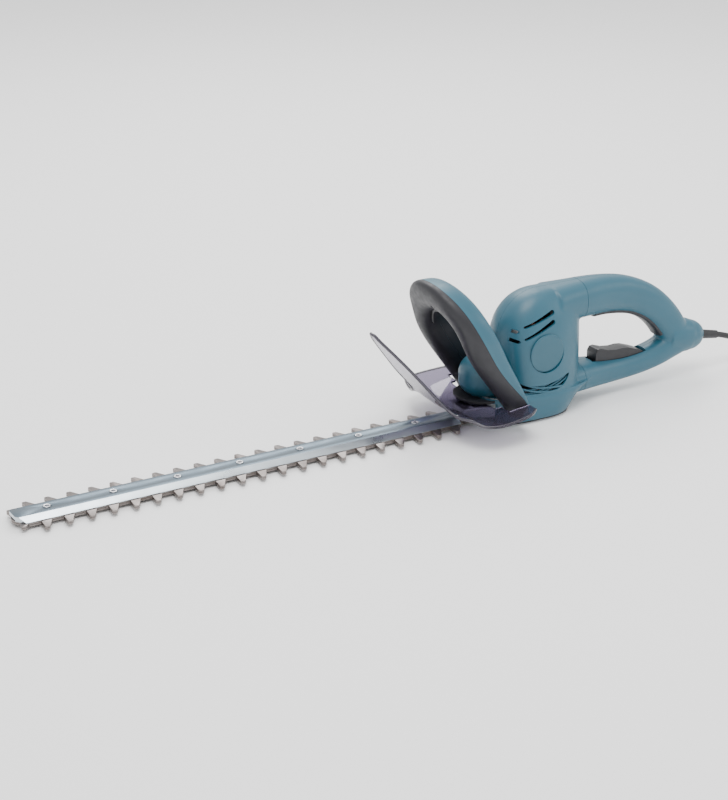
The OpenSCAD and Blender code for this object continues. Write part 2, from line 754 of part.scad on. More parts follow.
// Crank shaft with its two eccentrics
module crank_shaft() {
  color("#aeb3b8") translate([crank_x, 0, 0]) {
    translate([0, 0, 12]) cylinder(r = 5, h = 25.6);
    translate([0, stroke, 8]) cylinder(r = ecc_r, h = 3.8);
    translate([0, 0, 7]) cylinder(r = 4.6, h = 5);
    translate([0, -stroke, lower_z]) cylinder(r = ecc_r, h = 3.8);
  }
}

// Plain ball bearing drawn as one ring
module bearing(ro, ri, h) {
  difference() {
    cylinder(r = ro, h = h);
    translate([0, 0, -1]) cylinder(r = ri, h = h + 2);
    translate([0, 0, h - 0.8]) difference() {
      cylinder(r = ro - 1.8, h = 2);
      translate([0, 0, -1]) cylinder(r = ri + 1.8, h = 4);
    }
  }
}

module crank_bearing_lower() {
  color("#c4c8cc") translate([crank_x, 0, 12.4]) bearing(12.98, 5.02, 5);
}

module crank_bearing_upper() {
  color("#c4c8cc") translate([crank_x, 0, 31.2]) bearing(9.48, 5.02, 5.6);
}

module motor_bearing_lower() {
  color("#c4c8cc") translate([motor_x, 0, 32.6]) bearing(10.98, 4.02, 6.2);
}

module motor_bearing_upper() {
  color("#c4c8cc") translate([motor_x, 0, 134.4]) bearing(9.48, 4.02, 6);
}

// Motor: rotating parts
module armature_shaft() {
  color("#b9bcc0") translate([motor_x, 0, 0]) {
    translate([0, 0, 19]) cylinder(r = 2.48, h = 12);
    translate([0, 0, 31]) cylinder(r = 4, h = 110.5);
  }
}

module armature_core() {
  color("#6d7076") translate([motor_x, 0, 66]) linear_extrude(armature_len) difference() {
    circle(r = armature_r, $fn = 64);
    circle(r = 4.02);
    for (a = [0:30:330]) rotate(a) translate([armature_r - 4, -1.1]) square([5, 2.2]);
  }
}

module armature_windings() {
  color("#b5652e") translate([motor_x, 0, 0]) for (z = [59.5, 66 + armature_len + 0.2])
    translate([0, 0, z]) rotate_extrude() polygon([[5.5, 1], [8, 0], [13, 0], [15.5, 2],
      [15.5, 4.6], [13.5, 6.2], [5.5, 6.2]]);
}

module commutator() {
  color("#c07a45") translate([motor_x, 0, 109]) linear_extrude(14) difference() {
    circle(r = 11, $fn = 64);
    circle(r = 4.02);
    for (a = [0:15:345]) rotate(a) translate([9.6, -0.25]) square([3, 0.5]);
  }
}

module fan() {
  color("#26282b") translate([motor_x, 0, 44]) difference() {
    union() {
      cylinder(r = fan_r, h = 2);
      cylinder(r = 9, h = 10);
      for (i = [0:fan_blades - 1]) rotate([0, 0, i * 360 / fan_blades])
        translate([8, -0.8, 0]) cube([fan_r - 9, 1.6, 9.5]);
    }
    translate([0, 0, -1]) cylinder(r = 4.02, h = 20);
  }
}

// Motor: fixed parts
module stator_core() {
  color("#6d7076") translate([motor_x, 0, 65]) linear_extrude(36) difference() {
    intersection() {
      circle(r = 31, $fn = 96);
      square([62, 56], center = true);
    }
    circle(r = armature_r + 0.6, $fn = 96);
    for (s = [-1, 1]) translate([0, s * 17.5]) square([30, 13], center = true);
  }
}

module field_coils() {
  color("#b5652e") translate([motor_x, 0, 0]) for (s = [-1, 1])
    translate([0, s * 21.4, 59]) difference() {
      translate([-13.5, -2.2, 0]) cube([27, 4.4, 48]);
      translate([-9.5, -4, 4]) cube([19, 8, 40]);
    }
}

module fan_baffle() {
  color("#33363a") translate([motor_x, 0, 56]) difference() {
    linear_extrude(1.8) difference() {
      circle(r = 35, $fn = 96);
      circle(r = 24, $fn = 96);
    }
    for (s = [-1, 1]) translate([s * 34, 0, 0]) cube([8, 90, 9], center = true);
  }
}

module motor_bracket() {
  color("#33363a") translate([motor_x, 0, 0]) {
    translate([0, 0, 129]) difference() {
      cylinder(r = 15, h = 11.6);
      translate([0, 0, 5.3]) cylinder(r = 9.5, h = 10);
      translate([0, 0, -1]) cylinder(r = 6, h = 10);
    }
    for (a = [45, 135, 225, 315]) rotate([0, 0, a]) {
      translate([12, -3, 129]) cube([14, 6, 5]);
      translate([23, -3, 101.1]) cube([3.5, 6, 32.9]);
    }
  }
}

module brush_holders() {
  color("#c9a25a") translate([motor_x, 0, 116]) for (s = [-1, 1]) difference() {
    translate([s * 21, 0, 0]) cube([14, 9, 9], center = true);
    translate([s * 21, 0, 0]) cube([20, 6.2, 6.2], center = true);
  }
}

module carbon_brushes() {
  color("#2a2a2c") translate([motor_x, 0, 116]) for (s = [-1, 1])
    translate([s * 17.1, 0, 0]) cube([11.8, 6, 6], center = true);
}

// Electrical parts
module switch_unit() {
  color("#1f2022") {
    translate([298, -9, 17.5]) cube([30, 18, 9]);
    translate([303, -3, 26.5]) cube([8, 6, 3.4]);
  }
}

module front_switch() {
  color("#1f2022") {
    translate([62, -10, 160.4]) cube([12, 20, 8]);
    translate([66, -3, 158.5]) cube([4, 6, 1.9]);
  }
}

module capacitor() {
  color("#b8a76a") translate([247, 0, 62]) cylinder(r = 8, h = 30);
}

module cord_clamp() {
  color("#26282b") difference() {
    translate([424, -12, 43]) cube([10, 24, 8]);
    translate([420, 0, 54.6]) rotate([0, 101, 0]) cylinder(r = cord_d / 2 + 0.2, h = 40, center = true);
    for (s = [-1, 1]) translate([429, s * 9, 30]) cylinder(r = 1.6, h = 40, $fn = 24);
  }
}

module clamp_screws() {
  color("#b9bcc0") for (s = [-1, 1]) translate([429, s * 9, 41]) {
    cylinder(r = 1.55, h = 10, $fn = 24);
    translate([0, 0, 10]) cylinder(r = 2.8, h = 2, $fn = 24);
  }
}

// Screws
module side_screw(x, z, y) {
  translate([x, y, z]) rotate([90, 0, 0]) {
    cylinder(r = 3.1, h = 2.2, $fn = 24);
    cylinder(r = 1.85, h = 20, $fn = 24);
  }
}

module housing_screws() {
  color("#3a3d42") for (p = house_bosses) side_screw(p[0], p[1], 13.2);
}

module handle_screws() {
  color("#3a3d42") for (p = handle_bosses) side_screw(p[0], p[1], 10.2);
}

module base_screws() {
  color("#3a3d42") for (p = base_points) translate([p[0], p[1], 0.4]) {
    cylinder(r = 3.1, h = 1, $fn = 24);
    cylinder(r = 1.75, h = 16, $fn = 24);
  }
}

module loop_screws() {
  color("#3a3d42") for (s = [-1, 1]) translate([146, s * 54, 18]) {
    cylinder(r = 1.9, h = 13, $fn = 24);
    cylinder(r = 3.6, h = 2, $fn = 24);
  }
}

// Screws of the gear case, the bar and the guard
module gear_case_screws() {
  color("#3a3d42") {
    for (p = case_points) let (top = p[0] < 150 ? case_step : case_top) {
      translate([p[0], p[1], 22]) cylinder(r = 1.95, h = top - 22, $fn = 24);
      translate([p[0], p[1], top]) cylinder(r = 3.4, h = 2, $fn = 24);
    }
    for (x = bar_points) translate([x, 0, 10.4]) {
      cylinder(r = 2.5, h = 12.2, $fn = 24);
      translate([0, 0, 12.1]) cylinder(r = 4, h = 1.6, $fn = 24);
    }
    for (s = [-1, 1]) translate([106, s * 13.5, 15]) {
      cylinder(r = 1.6, h = 14.4, $fn = 24);
      translate([0, 0, 13.8]) cylinder(r = 3, h = 1.6, $fn = 24);
    }
  }
}

// Trigger of the rear handle
module trigger() {
  color("#26262a") difference() {
    rotate([90, 0, 0]) translate([0, 0, -9.6]) linear_extrude(19.2) polygon([[292, 38],
      [292, 55], [295, 60], [300, 60.5], [312, 56.5], [324, 55], [334, 55.5], [342, 54.5],
      [354, 50.5], [364, 46.5], [367, 44], [367, 40], [364, 37.5], [355, 37], [300, 37]]);
    translate([hinge[0], 0, hinge[1]]) rotate([90, 0, 0])
      cylinder(r = 2.05, h = 40, center = true, $fn = 24);
  }
}

module trigger_pin() {
  color("#b9bcc0") translate([hinge[0], 0, hinge[1]]) rotate([90, 0, 0])
    cylinder(r = 2, h = 28, center = true, $fn = 24);
}

// Strain relief, cord and plug
module cord_guard() {
  color("#26262a") translate([455, 0, 48.95]) rotate([0, 101, 0]) difference() {
    rotate_extrude() polygon([[0, 0], [6.2, 0], [6.2, 10], [6, 12], [5.2, 36], [0, 36]]);
    translate([0, 0, -1]) cylinder(r = cord_d / 2 + 0.05, h = 50);
  }
}

cord_points = [[465, 0, 47], [490, 0, 42.1], [515, 0, 34], [540, -2, 20], [562, -10, 9],
  [580, -28, 4.6], [588, -52, 4], [586, -80, 4], [572, -106, 4], [552, -128, 4], [530, -146, 4]];

module power_cord() {
  k = len(cord_points) - 1;
  color("#1d1d20") loft([for (i = [0:k * 2])
    let (u = i / 2, p = at(cord_points, u),
      d = unit(at(cord_points, min(k, u + 0.05)) - at(cord_points, max(0, u - 0.05))),
      s = unit(cross([0, 0, 1], d)), v = cross(d, s))
    [for (j = [0:9]) p + (cos(36 * j) * s + sin(36 * j) * v) * cord_d / 2]]);
}

plug_at = [530, -146];
plug_turn = 220;

module plug_body() {
  color("#1d1d20") translate([plug_at[0], plug_at[1], 0]) rotate([0, 0, plug_turn])
    difference() {
      union() {
        translate([4, -11, 0]) cube([34, 22, 12]);
        translate([0.05, -6, 0.1]) cube([6, 12, 8]);
        translate([36, -17, 0]) cube([6, 34, 15]);
      }
      translate([-1, 0, 4]) rotate([0, 90, 0]) cylinder(r = cord_d / 2 + 0.05, h = 1.02);
      for (s = [-1, 1]) translate([30, s * 9.5, 7]) rotate([0, 90, 0])
        cylinder(r = 2.4, h = 20, $fn = 32);
    }
}

module plug_pins() {
  color("#c9b27a") translate([plug_at[0], plug_at[1], 7]) rotate([0, 0, plug_turn])
    for (s = [-1, 1]) translate([32, s * 9.5, 0]) rotate([0, 90, 0]) {
      cylinder(r = 2.4, h = 28, $fn = 32);
      translate([0, 0, 28]) cylinder(r1 = 2.4, r2 = 1.4, h = 1, $fn = 32);
    }
}

// The origin is under the middle of the tool, without its cord
translate([-origin_x, 0, 0]) {
  housing_left();
  housing_right();
  handle_left();
  handle_right();
  grip_pad();
  skirt();
  base_plate();
  nose_cover();
  nose_collar();
  badge_left();
  badge_right();
  front_loop_front();
  front_loop_rear();
  guard();
  gear_housing();
  guide_bar();
  blade_sleeves();
  blade_screws();
  blade_nuts();
  stator_core();
  field_coils();
  motor_bracket();
  brush_holders();
  carbon_brushes();
  motor_bearing_upper();
  motor_bearing_lower();
  fan_baffle();
  crank_bearing_upper();
  crank_bearing_lower();
  switch_unit();
  front_switch();
  capacitor();
  cord_clamp();
  clamp_screws();
  housing_screws();
  handle_screws();
  base_screws();
  loop_screws();
  gear_case_screws();
  cord_guard();
  power_cord();
  plug_body();
  plug_pins();
  armature_shaft();
  armature_core();
  armature_windings();
  commutator();
  fan();
  pinion();
  crank_gear();
  crank_shaft();
  upper_blade();
  upper_yoke();
  lower_blade();
  lower_yoke();
  yoke_rivets();
  upper_rivets();
  trigger();
  trigger_pin();
  front_lever();
}
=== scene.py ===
"""Looks of a corded hedge trimmer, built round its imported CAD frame. Shapes are in millimetres until place()."""

import json
import math

import bmesh
import bpy
import numpy as np
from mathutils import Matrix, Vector


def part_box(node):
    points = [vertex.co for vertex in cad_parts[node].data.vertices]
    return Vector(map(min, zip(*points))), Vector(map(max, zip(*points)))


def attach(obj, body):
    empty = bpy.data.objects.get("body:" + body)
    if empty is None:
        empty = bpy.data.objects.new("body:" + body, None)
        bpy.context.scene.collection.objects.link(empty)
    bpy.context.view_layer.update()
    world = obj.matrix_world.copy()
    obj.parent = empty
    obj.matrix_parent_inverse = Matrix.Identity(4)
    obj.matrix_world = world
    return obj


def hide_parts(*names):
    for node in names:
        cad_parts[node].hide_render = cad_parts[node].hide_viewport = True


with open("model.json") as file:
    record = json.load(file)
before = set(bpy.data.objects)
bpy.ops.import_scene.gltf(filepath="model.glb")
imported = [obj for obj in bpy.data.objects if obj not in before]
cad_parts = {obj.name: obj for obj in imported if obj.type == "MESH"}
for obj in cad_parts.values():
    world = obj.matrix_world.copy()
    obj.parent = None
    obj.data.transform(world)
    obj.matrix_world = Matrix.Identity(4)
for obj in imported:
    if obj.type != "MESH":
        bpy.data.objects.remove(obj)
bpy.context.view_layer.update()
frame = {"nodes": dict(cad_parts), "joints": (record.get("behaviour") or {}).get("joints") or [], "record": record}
nodes = frame["nodes"]
MM = 0.001


# The outlines below are drawn with the front of the motor housing at x = 150
DRAWN_FRONT = 150
ORIGIN = np.array([DRAWN_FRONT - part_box("housing_left")[0][0] / MM, 0, 0])


def low(node):
    return np.array(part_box(node)[0]) / MM + ORIGIN


def high(node):
    return np.array(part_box(node)[1]) / MM + ORIGIN


def metres(points):
    """Drawn millimetre points in the frame's metres."""
    return (np.asarray(points, float) - ORIGIN) * MM


# Main sizes, from the frame
HOUSE_FRONT = low("housing_left")[0]
HOUSE_W = high("housing_right")[1]
HOUSE_TOP = high("housing_left")[2]
LEDGE_Z = low("housing_left")[2]
SEAM_X = high("housing_left")[0]
SKIRT_W = high("skirt")[1]
LOOP_W = high("front_loop_front")[1]
LOOP_TOP = high("front_loop_front")[2]
GUARD_W = high("guard")[1]
LEVER_TRAVEL = 1000 * next(j["range_m"][1] for j in frame["joints"] if j["name"] == "front_lever_slide")
WALL = 2.8


# ---------------------------------------------------------------- shape helpers
def spow(v, p):
    return np.sign(v) * np.abs(v) ** p


def ease(t):
    t = np.clip(t, 0, 1)
    return t * t * (3 - 2 * t)


def quarter(t, n):
    return np.clip(1 - np.clip(t, 0, 1) ** n, 0, None) ** (1 / n)


def curve_at(points, u):
    """Catmull-Rom value of a list of points at u, where a whole number is a point."""
    p = np.asarray(points, float)
    u = np.atleast_1d(u).astype(float)
    i = np.clip(np.floor(u).astype(int), 0, len(p) - 2)
    t = u - i
    if p.ndim > 1:
        t = t[:, None]
    a, b, c, d = p[np.maximum(i - 1, 0)], p[i], p[i + 1], p[np.minimum(i + 2, len(p) - 1)]
    return 0.5 * (2 * b + (c - a) * t + (2 * a - 5 * b + 4 * c - d) * t * t + (3 * b - a - 3 * c + d) * t ** 3)


def place(name, verts, faces, smooth=True):
    """A mesh object from millimetre points."""
    mesh = bpy.data.meshes.new(name)
    mesh.from_pydata(metres(verts).tolist(), [], faces)
    mesh.validate()
    mesh.update()
    if smooth:
        mesh.shade_smooth()
    piece = bpy.data.objects.new(name, mesh)
    bpy.context.scene.collection.objects.link(piece)
    return piece


def outward(piece):
    bm = bmesh.new()
    bm.from_mesh(piece.data)
    bmesh.ops.recalc_face_normals(bm, faces=bm.faces)
    bm.to_mesh(piece.data)
    bm.free()
    return piece


def tube(name, rings):
    """A closed solid through rings of equal length."""
    rings = np.asarray(rings, float)
    m, n = rings.shape[:2]
    verts = rings.reshape(-1, 3).tolist() + [rings[0].mean(0).tolist(), rings[-1].mean(0).tolist()]
    faces = [(i * n + j, i * n + (j + 1) % n, (i + 1) * n + (j + 1) % n, (i + 1) * n + j)
             for i in range(m - 1) for j in range(n)]
    faces += [((j + 1) % n, j, m * n) for j in range(n)]
    faces += [((m - 1) * n + j, (m - 1) * n + (j + 1) % n, m * n + 1) for j in range(n)]
    return outward(place(name, verts, faces))


def wall_between(name, outer, inner):
    """A closed wall between two open grids of the same size."""
    outer, inner = np.asarray(outer, float), np.asarray(inner, float)
    m, n = outer.shape[:2]
    verts = np.concatenate([outer.reshape(-1, 3), inner.reshape(-1, 3)])
    q = m * n
    faces = []
    for i in range(m - 1):
        for j in range(n - 1):
            a, b, c, d = i * n + j, i * n + j + 1, (i + 1) * n + j + 1, (i + 1) * n + j
            faces += [(a, b, c, d), (q + d, q + c, q + b, q + a)]
    for i in range(m - 1):
        for j in (0, n - 1):
            a, b = i * n + j, (i + 1) * n + j
            faces.append((a, b, q + b, q + a))
    for j in range(n - 1):
        for i in (0, m - 1):
            a, b = i * n + j, i * n + j + 1
            faces.append((a, b, q + b, q + a))
    return outward(place(name, verts, faces))


def prism(name, outline, low_z, high_z, axis="z"):
    """An extruded outline, along Z or along Y."""
    o = np.asarray(outline, float)
    n = len(o)
    if axis == "z":
        verts = [(x, y, z) for z in (low_z, high_z) for x, y in o]
    else:
        verts = [(x, z, y) for z in (low_z, high_z) for x, y in o]
    faces = [tuple(range(n)), tuple(range(2 * n - 1, n - 1, -1))]
    faces += [(j, (j + 1) % n, n + (j + 1) % n, n + j) for j in range(n)]
    return outward(place(name, verts, faces, smooth=False))


def settle(piece):
    """Applies every modifier of a piece."""
    graph = bpy.context.evaluated_depsgraph_get()
    graph.update()
    mesh = bpy.data.meshes.new_from_object(piece.evaluated_get(graph))
    piece.modifiers.clear()
    old = piece.data
    piece.data = mesh
    bpy.data.meshes.remove(old)
    return piece


def join(name, parts):
    bm = bmesh.new()
    for p in parts:
        bm.from_mesh(p.data)
    mesh = bpy.data.meshes.new(name)
    bm.to_mesh(mesh)
    bm.free()
    for p in parts:
        bpy.data.objects.remove(p)
    piece = bpy.data.objects.new(name, mesh)
    bpy.context.scene.collection.objects.link(piece)
    return piece


def carve(piece, cutters, operation="DIFFERENCE"):
    for c in cutters:
        m = piece.modifiers.new("carve", "BOOLEAN")
        m.operation = operation
        m.solver = "EXACT"
        m.object = c
    settle(piece)
    for c in cutters:
        bpy.data.objects.remove(c)
    return piece


def bevelled(piece, width, segments=2, angle=35):
    m = piece.modifiers.new("bevel", "BEVEL")
    m.width = width * MM
    m.segments = segments
    m.limit_method = "ANGLE"
    m.angle_limit = math.radians(angle)
    m.harden_normals = False
    settle(piece)
    return soften(piece, angle)


def soften(piece, angle=35):
    piece.data.shade_smooth()
    piece.data.set_sharp_from_angle(angle=math.radians(angle))
    return piece


def copy_of(node, name, bevel=0.0, segments=2, angle=30):
    """A copy of a CAD node with its flat faces joined up and its edges rounded."""
    mesh = nodes[node].data.copy()
    bm = bmesh.new()
    bm.from_mesh(mesh)
    bmesh.ops.remove_doubles(bm, verts=bm.verts, dist=1e-6)
    bmesh.ops.dissolve_limit(bm, angle_limit=math.radians(1), verts=bm.verts, edges=bm.edges)
    bm.to_mesh(mesh)
    bm.free()
    piece = bpy.data.objects.new(name, mesh)
    bpy.context.scene.collection.objects.link(piece)
    if bevel:
        bevelled(piece, bevel, segments, angle)
    else:
        soften(piece, angle)
    return piece


def give(piece, body, slot, *replaced):
    """Finishes a piece: its material, its body and the CAD nodes that it stands for."""
    piece.data.materials.clear()
    piece.data.materials.append(mats[slot])
    if replaced:
        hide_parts(*replaced)
    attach(piece, body)
    return piece


# ---------------------------------------------------------------- materials
def base_material(name):
    m = bpy.data.materials.new(name)
    m.use_nodes = True
    return m, m.node_tree.nodes, m.node_tree.links, m.node_tree.nodes["Principled BSDF"]


def noise(n, l, scale, detail=3.0, rough=0.5, stretch=(1, 1, 1)):
    """A noise texture in the object's own coordinates."""
    where = n.new("ShaderNodeTexCoord")
    mapping = n.new("ShaderNodeMapping")
    mapping.inputs["Scale"].default_value = stretch
    tex = n.new("ShaderNodeTexNoise")
    tex.inputs["Scale"].default_value = scale
    tex.inputs["Detail"].default_value = detail
    tex.inputs["Roughness"].default_value = rough
    l.new(where.outputs["Object"], mapping.inputs["Vector"])
    l.new(mapping.outputs["Vector"], tex.inputs["Vector"])
    return tex.outputs["Fac"]


def spread(n, l, value, low_value, high_value, lo=0.3, hi=0.7):
    r = n.new("ShaderNodeMapRange")
    r.inputs["From Min"].default_value = lo
    r.inputs["From Max"].default_value = hi
    r.inputs["To Min"].default_value = low_value
    r.inputs["To Max"].default_value = high_value
    l.new(value, r.inputs["Value"])
    return r.outputs["Result"]


def mixed(n, l, factor, a, b):
    m = n.new("ShaderNodeMix")
    m.data_type = "RGBA"
    l.new(factor, m.inputs["Factor"])
    for socket, value in ((m.inputs[6], a), (m.inputs[7], b)):
        if isinstance(value, tuple):
            socket.default_value = value
        else:
            l.new(value, socket)
    return m.outputs[2]


def shade(colour, k):
    return tuple(min(1, c * k) for c in colour[:3]) + (1,)


def bump(n, l, height, distance, strength=1.0, after=None):
    b = n.new("ShaderNodeBump")
    b.inputs["Distance"].default_value = distance
    b.inputs["Strength"].default_value = strength
    l.new(height, b.inputs["Height"])
    if after is not None:
        l.new(after, b.inputs["Normal"])
    return b.outputs["Normal"]


def edge_wear(n, l, lo=0.53, hi=0.6):
    g = n.new("ShaderNodeNewGeometry")
    return spread(n, l, g.outputs["Pointiness"], 0, 1, lo, hi)


def plastic(name, colour, rough, grain=1800, depth=0.00004, wear=0.25, vary=0.06, coat=0.0):
    """Moulded plastic: even colour with a spark-eroded grain and paler worn edges."""
    m, n, l, p = base_material(name)
    tone = mixed(n, l, noise(n, l, 30, 2), shade(colour, 1 - vary), shade(colour, 1 + vary))
    worn = n.new("ShaderNodeMath")
    worn.operation = "MULTIPLY"
    l.new(edge_wear(n, l), worn.inputs[0])
    worn.inputs[1].default_value = wear
    l.new(mixed(n, l, worn.outputs[0], tone, shade(colour, 1.5)), p.inputs["Base Color"])
    l.new(spread(n, l, noise(n, l, 90, 4), rough - 0.05, rough + 0.06), p.inputs["Roughness"])
    l.new(bump(n, l, noise(n, l, grain, 2), depth, 0.6), p.inputs["Normal"])
    p.inputs["Coat Weight"].default_value = coat
    p.inputs["Coat Roughness"].default_value = 0.25
    return m


def rubber(name, colour, rough=0.62, grain=2600, depth=0.00006):
    """Soft rubber: dull, with a fine leathery grain and a dusting of paler scuffs."""
    m, n, l, p = base_material(name)
    scuffs = spread(n, l, noise(n, l, 260, 6, 0.65), 0, 0.22, 0.58, 0.72)
    tone = mixed(n, l, noise(n, l, 40, 3), shade(colour, 0.85), shade(colour, 1.15))
    l.new(mixed(n, l, scuffs, tone, shade(colour, 1.9)), p.inputs["Base Color"])
    l.new(spread(n, l, noise(n, l, 120, 4), rough - 0.07, rough + 0.07), p.inputs["Roughness"])
    l.new(bump(n, l, noise(n, l, grain, 3), depth, 0.7), p.inputs["Normal"])
    return m


def metal(name, colour, rough, stretch=(1, 1, 1), scale=900, depth=0.00002, vary=0.12, tint=None, metallic=1.0):
    """Machined or ground metal: fine streaks along one direction, with duller patches."""
    m, n, l, p = base_material(name)
    streaks = noise(n, l, scale, 4, 0.6, stretch)
    patches = noise(n, l, 35, 4)
    tone = mixed(n, l, streaks, shade(colour, 1 - vary), shade(colour, 1 + vary))
    if tint is not None:
        tone = mixed(n, l, spread(n, l, patches, 0, 0.6, 0.5, 0.75), tone, tint)
    l.new(tone, p.inputs["Base Color"])
    p.inputs["Metallic"].default_value = metallic
    l.new(spread(n, l, patches, rough - 0.06, rough + 0.1), p.inputs["Roughness"])
    l.new(bump(n, l, streaks, depth, 0.6), p.inputs["Normal"])
    return m


def clear_plastic(name, colour, rough):
    """Smoke-tinted clear plastic with a few hairline scratches."""
    m, n, l, p = base_material(name)
    scratches = noise(n, l, 160, 5, 0.6, (1, 14, 14))
    l.new(mixed(n, l, noise(n, l, 14, 2), shade(colour, 0.95), shade(colour, 1.05)), p.inputs["Base Color"])
    l.new(spread(n, l, scratches, rough, rough + 0.1, 0.55, 0.75), p.inputs["Roughness"])
    l.new(bump(n, l, noise(n, l, 60, 2), 0.00003, 0.4), p.inputs["Normal"])
    p.inputs["Transmission Weight"].default_value = 0.92
    p.inputs["IOR"].default_value = 1.38
    return m


TEAL = (0.019, 0.094, 0.138, 1)
mats = {
    "teal_plastic": plastic("teal_plastic", TEAL, 0.40),
    "teal_badge": plastic("teal_badge", (0.018, 0.088, 0.128, 1), 0.34, grain=900, wear=0.3),
    "black_rubber": rubber("black_rubber", (0.010, 0.010, 0.014, 1), 0.5),
    "black_plastic": plastic("black_plastic", (0.010, 0.010, 0.013, 1), 0.42, wear=0.1, vary=0.12),
    "smoke_guard": clear_plastic("smoke_guard", (0.22, 0.19, 0.28, 1), 0.05),
    "cast_aluminium": metal("cast_aluminium", (0.55, 0.57, 0.60, 1), 0.48, scale=500, depth=0.00012),
    "bar_alloy": metal("bar_alloy", (0.56, 0.62, 0.66, 1), 0.3, (0.03, 1, 1), 1400),
    "blade_steel": metal("blade_steel", (0.24, 0.215, 0.205, 1), 0.36, (1, 0.05, 1), 1200, tint=(0.15, 0.12, 0.105, 1)),
    "bright_steel": metal("bright_steel", (0.72, 0.73, 0.75, 1), 0.22, (1, 1, 0.2)),
    "dark_steel": metal("dark_steel", (0.10, 0.105, 0.12, 1), 0.36, tint=(0.16, 0.15, 0.15, 1)),
    "lamination_steel": metal("lamination_steel", (0.30, 0.31, 0.33, 1), 0.45, (0.05, 0.05, 1), 2200, 0.00006),
    "copper_wire": metal("copper_wire", (0.17, 0.06, 0.03, 1), 0.35, (0.1, 1, 1), 1500, 0.00015),
    "copper_bar": metal("copper_bar", (0.72, 0.42, 0.26, 1), 0.26, (1, 1, 0.05), 1600),
    "brass": metal("brass", (0.76, 0.58, 0.28, 1), 0.28, (0.1, 1, 1), 1100),
    "carbon": plastic("carbon", (0.03, 0.03, 0.032, 1), 0.6, wear=0.0),
    "gear_steel": metal("gear_steel", (0.42, 0.39, 0.35, 1), 0.38, scale=700, tint=(0.25, 0.2, 0.16, 1)),
    "film_yellow": plastic("film_yellow", (0.55, 0.45, 0.16, 1), 0.3, wear=0.1),
    "cord_rubber": rubber("cord_rubber", (0.010, 0.010, 0.012, 1), 0.5),
}
# Painted reflection: a darker blue-grey copy of the bar alloy for the bar's upward faces, standing in for the dark
# surroundings that the flat top reflects
bar_top_painted_reflection = metal("bar_top_painted_reflection", (0.13, 0.17, 0.205, 1), 0.36, (0.03, 1, 1), 1400)
guard_rim = plastic("guard_rim", (0.035, 0.03, 0.045, 1), 0.22, grain=500, depth=0.00001, wear=0.0, coat=0.4)
# Painted shade: a dark teal for the inside faces of the cooling slits and the louvre room, standing in for the shade
# inside these openings
vent_painted_shade = plastic("vent_painted_shade", (0.012, 0.03, 0.038, 1), 0.7, wear=0.0)


# ---------------------------------------------------------------- camera
def make_camera():
    """Looks along the tool from its front left, a little from above, at the distance of a product shot."""
    data = bpy.data.cameras.new("camera")
    data.lens = 90
    data.sensor_width = 36
    data.sensor_fit = "AUTO"
    data.clip_end = 50
    cam = bpy.data.objects.new("camera", data)
    bpy.context.scene.collection.objects.link(cam)
    cam.location = metres((-1116.71, -1867.47, 929.94))
    forward = Vector((0.46498651, 0.80198158, -0.37498413))
    cam.rotation_euler = forward.to_track_quat("-Z", "Y").to_euler()
    bpy.context.scene.camera = cam


make_camera()


# ---------------------------------------------------------------- cord and plug
CORD_D = 7.6
CORD_POINTS = [[465, 0, 47], [490, 0, 42.1], [515, 0, 34], [540, -2, 20], [562, -10, 9], [580, -28, 4.6],
               [588, -52, 4], [586, -80, 4], [572, -106, 4], [552, -128, 4], [530, -146, 4]]


def make_cord():
    """The power cord on its route from the handle to the plug, as a tube with a fine sheath texture."""
    path = curve_at(CORD_POINTS, np.linspace(0, len(CORD_POINTS) - 1, 41))
    length = float(np.linalg.norm(np.diff(path, axis=0), axis=1).sum())
    data = bpy.data.curves.new("power_cord_run", "CURVE")
    data.dimensions = "3D"
    spline = data.splines.new("POLY")
    spline.points.add(len(path) - 1)
    for point, p in zip(spline.points, path):
        point.co = (*metres(p), 1)
    spline.use_smooth = True
    data.bevel_depth = CORD_D / 2 * MM
    data.bevel_resolution = 6
    data.use_fill_caps = True
    cord = bpy.data.objects.new("power_cord_run", data)
    bpy.context.scene.collection.objects.link(cord)
    return cord, path, length


cord, cord_path, cord_length = make_cord()
give(cord, "tool_body", "cord_rubber", "power_cord")
plug = give(copy_of("plug_body", "plug_shell", 1.4, 3), "tool_body", "cord_rubber", "plug_body")
pins = give(copy_of("plug_pins", "plug_contacts", 0.0), "tool_body", "brass", "plug_pins")


# ---------------------------------------------------------------- housing, skirt and rear handle
def house_w(x):
    front = HOUSE_W * quarter((200 - x) / (200 - HOUSE_FRONT), 3.2)
    return np.where(x < 200, front, HOUSE_W - (HOUSE_W - 20) * ease((x - 208) / 82))


def house_top(x):
    return np.where(x < 205, 96 + (HOUSE_TOP - 96) * quarter((205 - x) / (206 - HOUSE_FRONT), 2.1), HOUSE_TOP)


def house_rings(inset, rear):
    """Rings of the motor housing from its front to rear, closed below."""
    x0 = HOUSE_FRONT + inset
    turn = np.linspace(0.02, 1, 34) * math.pi / 2
    front = 200 - (200 - x0) * np.cos(turn) ** (2 / 3.0)
    xs = np.concatenate([front, np.linspace(200, rear, 26)[1:]])
    a = np.linspace(0, math.pi, 90)
    rings = []
    for x in xs:
        w = max(0.5, float(house_w(x)) - inset)
        top = float(house_top(x)) - inset
        base = LEDGE_Z - (5 if inset else 2)
        ring = np.stack([np.full_like(a, x), w * spow(np.cos(a), 2 / 2.7),
                         base + (top - base) * spow(np.sin(a), 2 / 2.7)], 1)
        floor = np.stack([np.full(12, x), np.linspace(-w, w, 14)[1:-1], np.full(12, base)], 1)
        rings.append(np.concatenate([ring, floor]))
    return rings


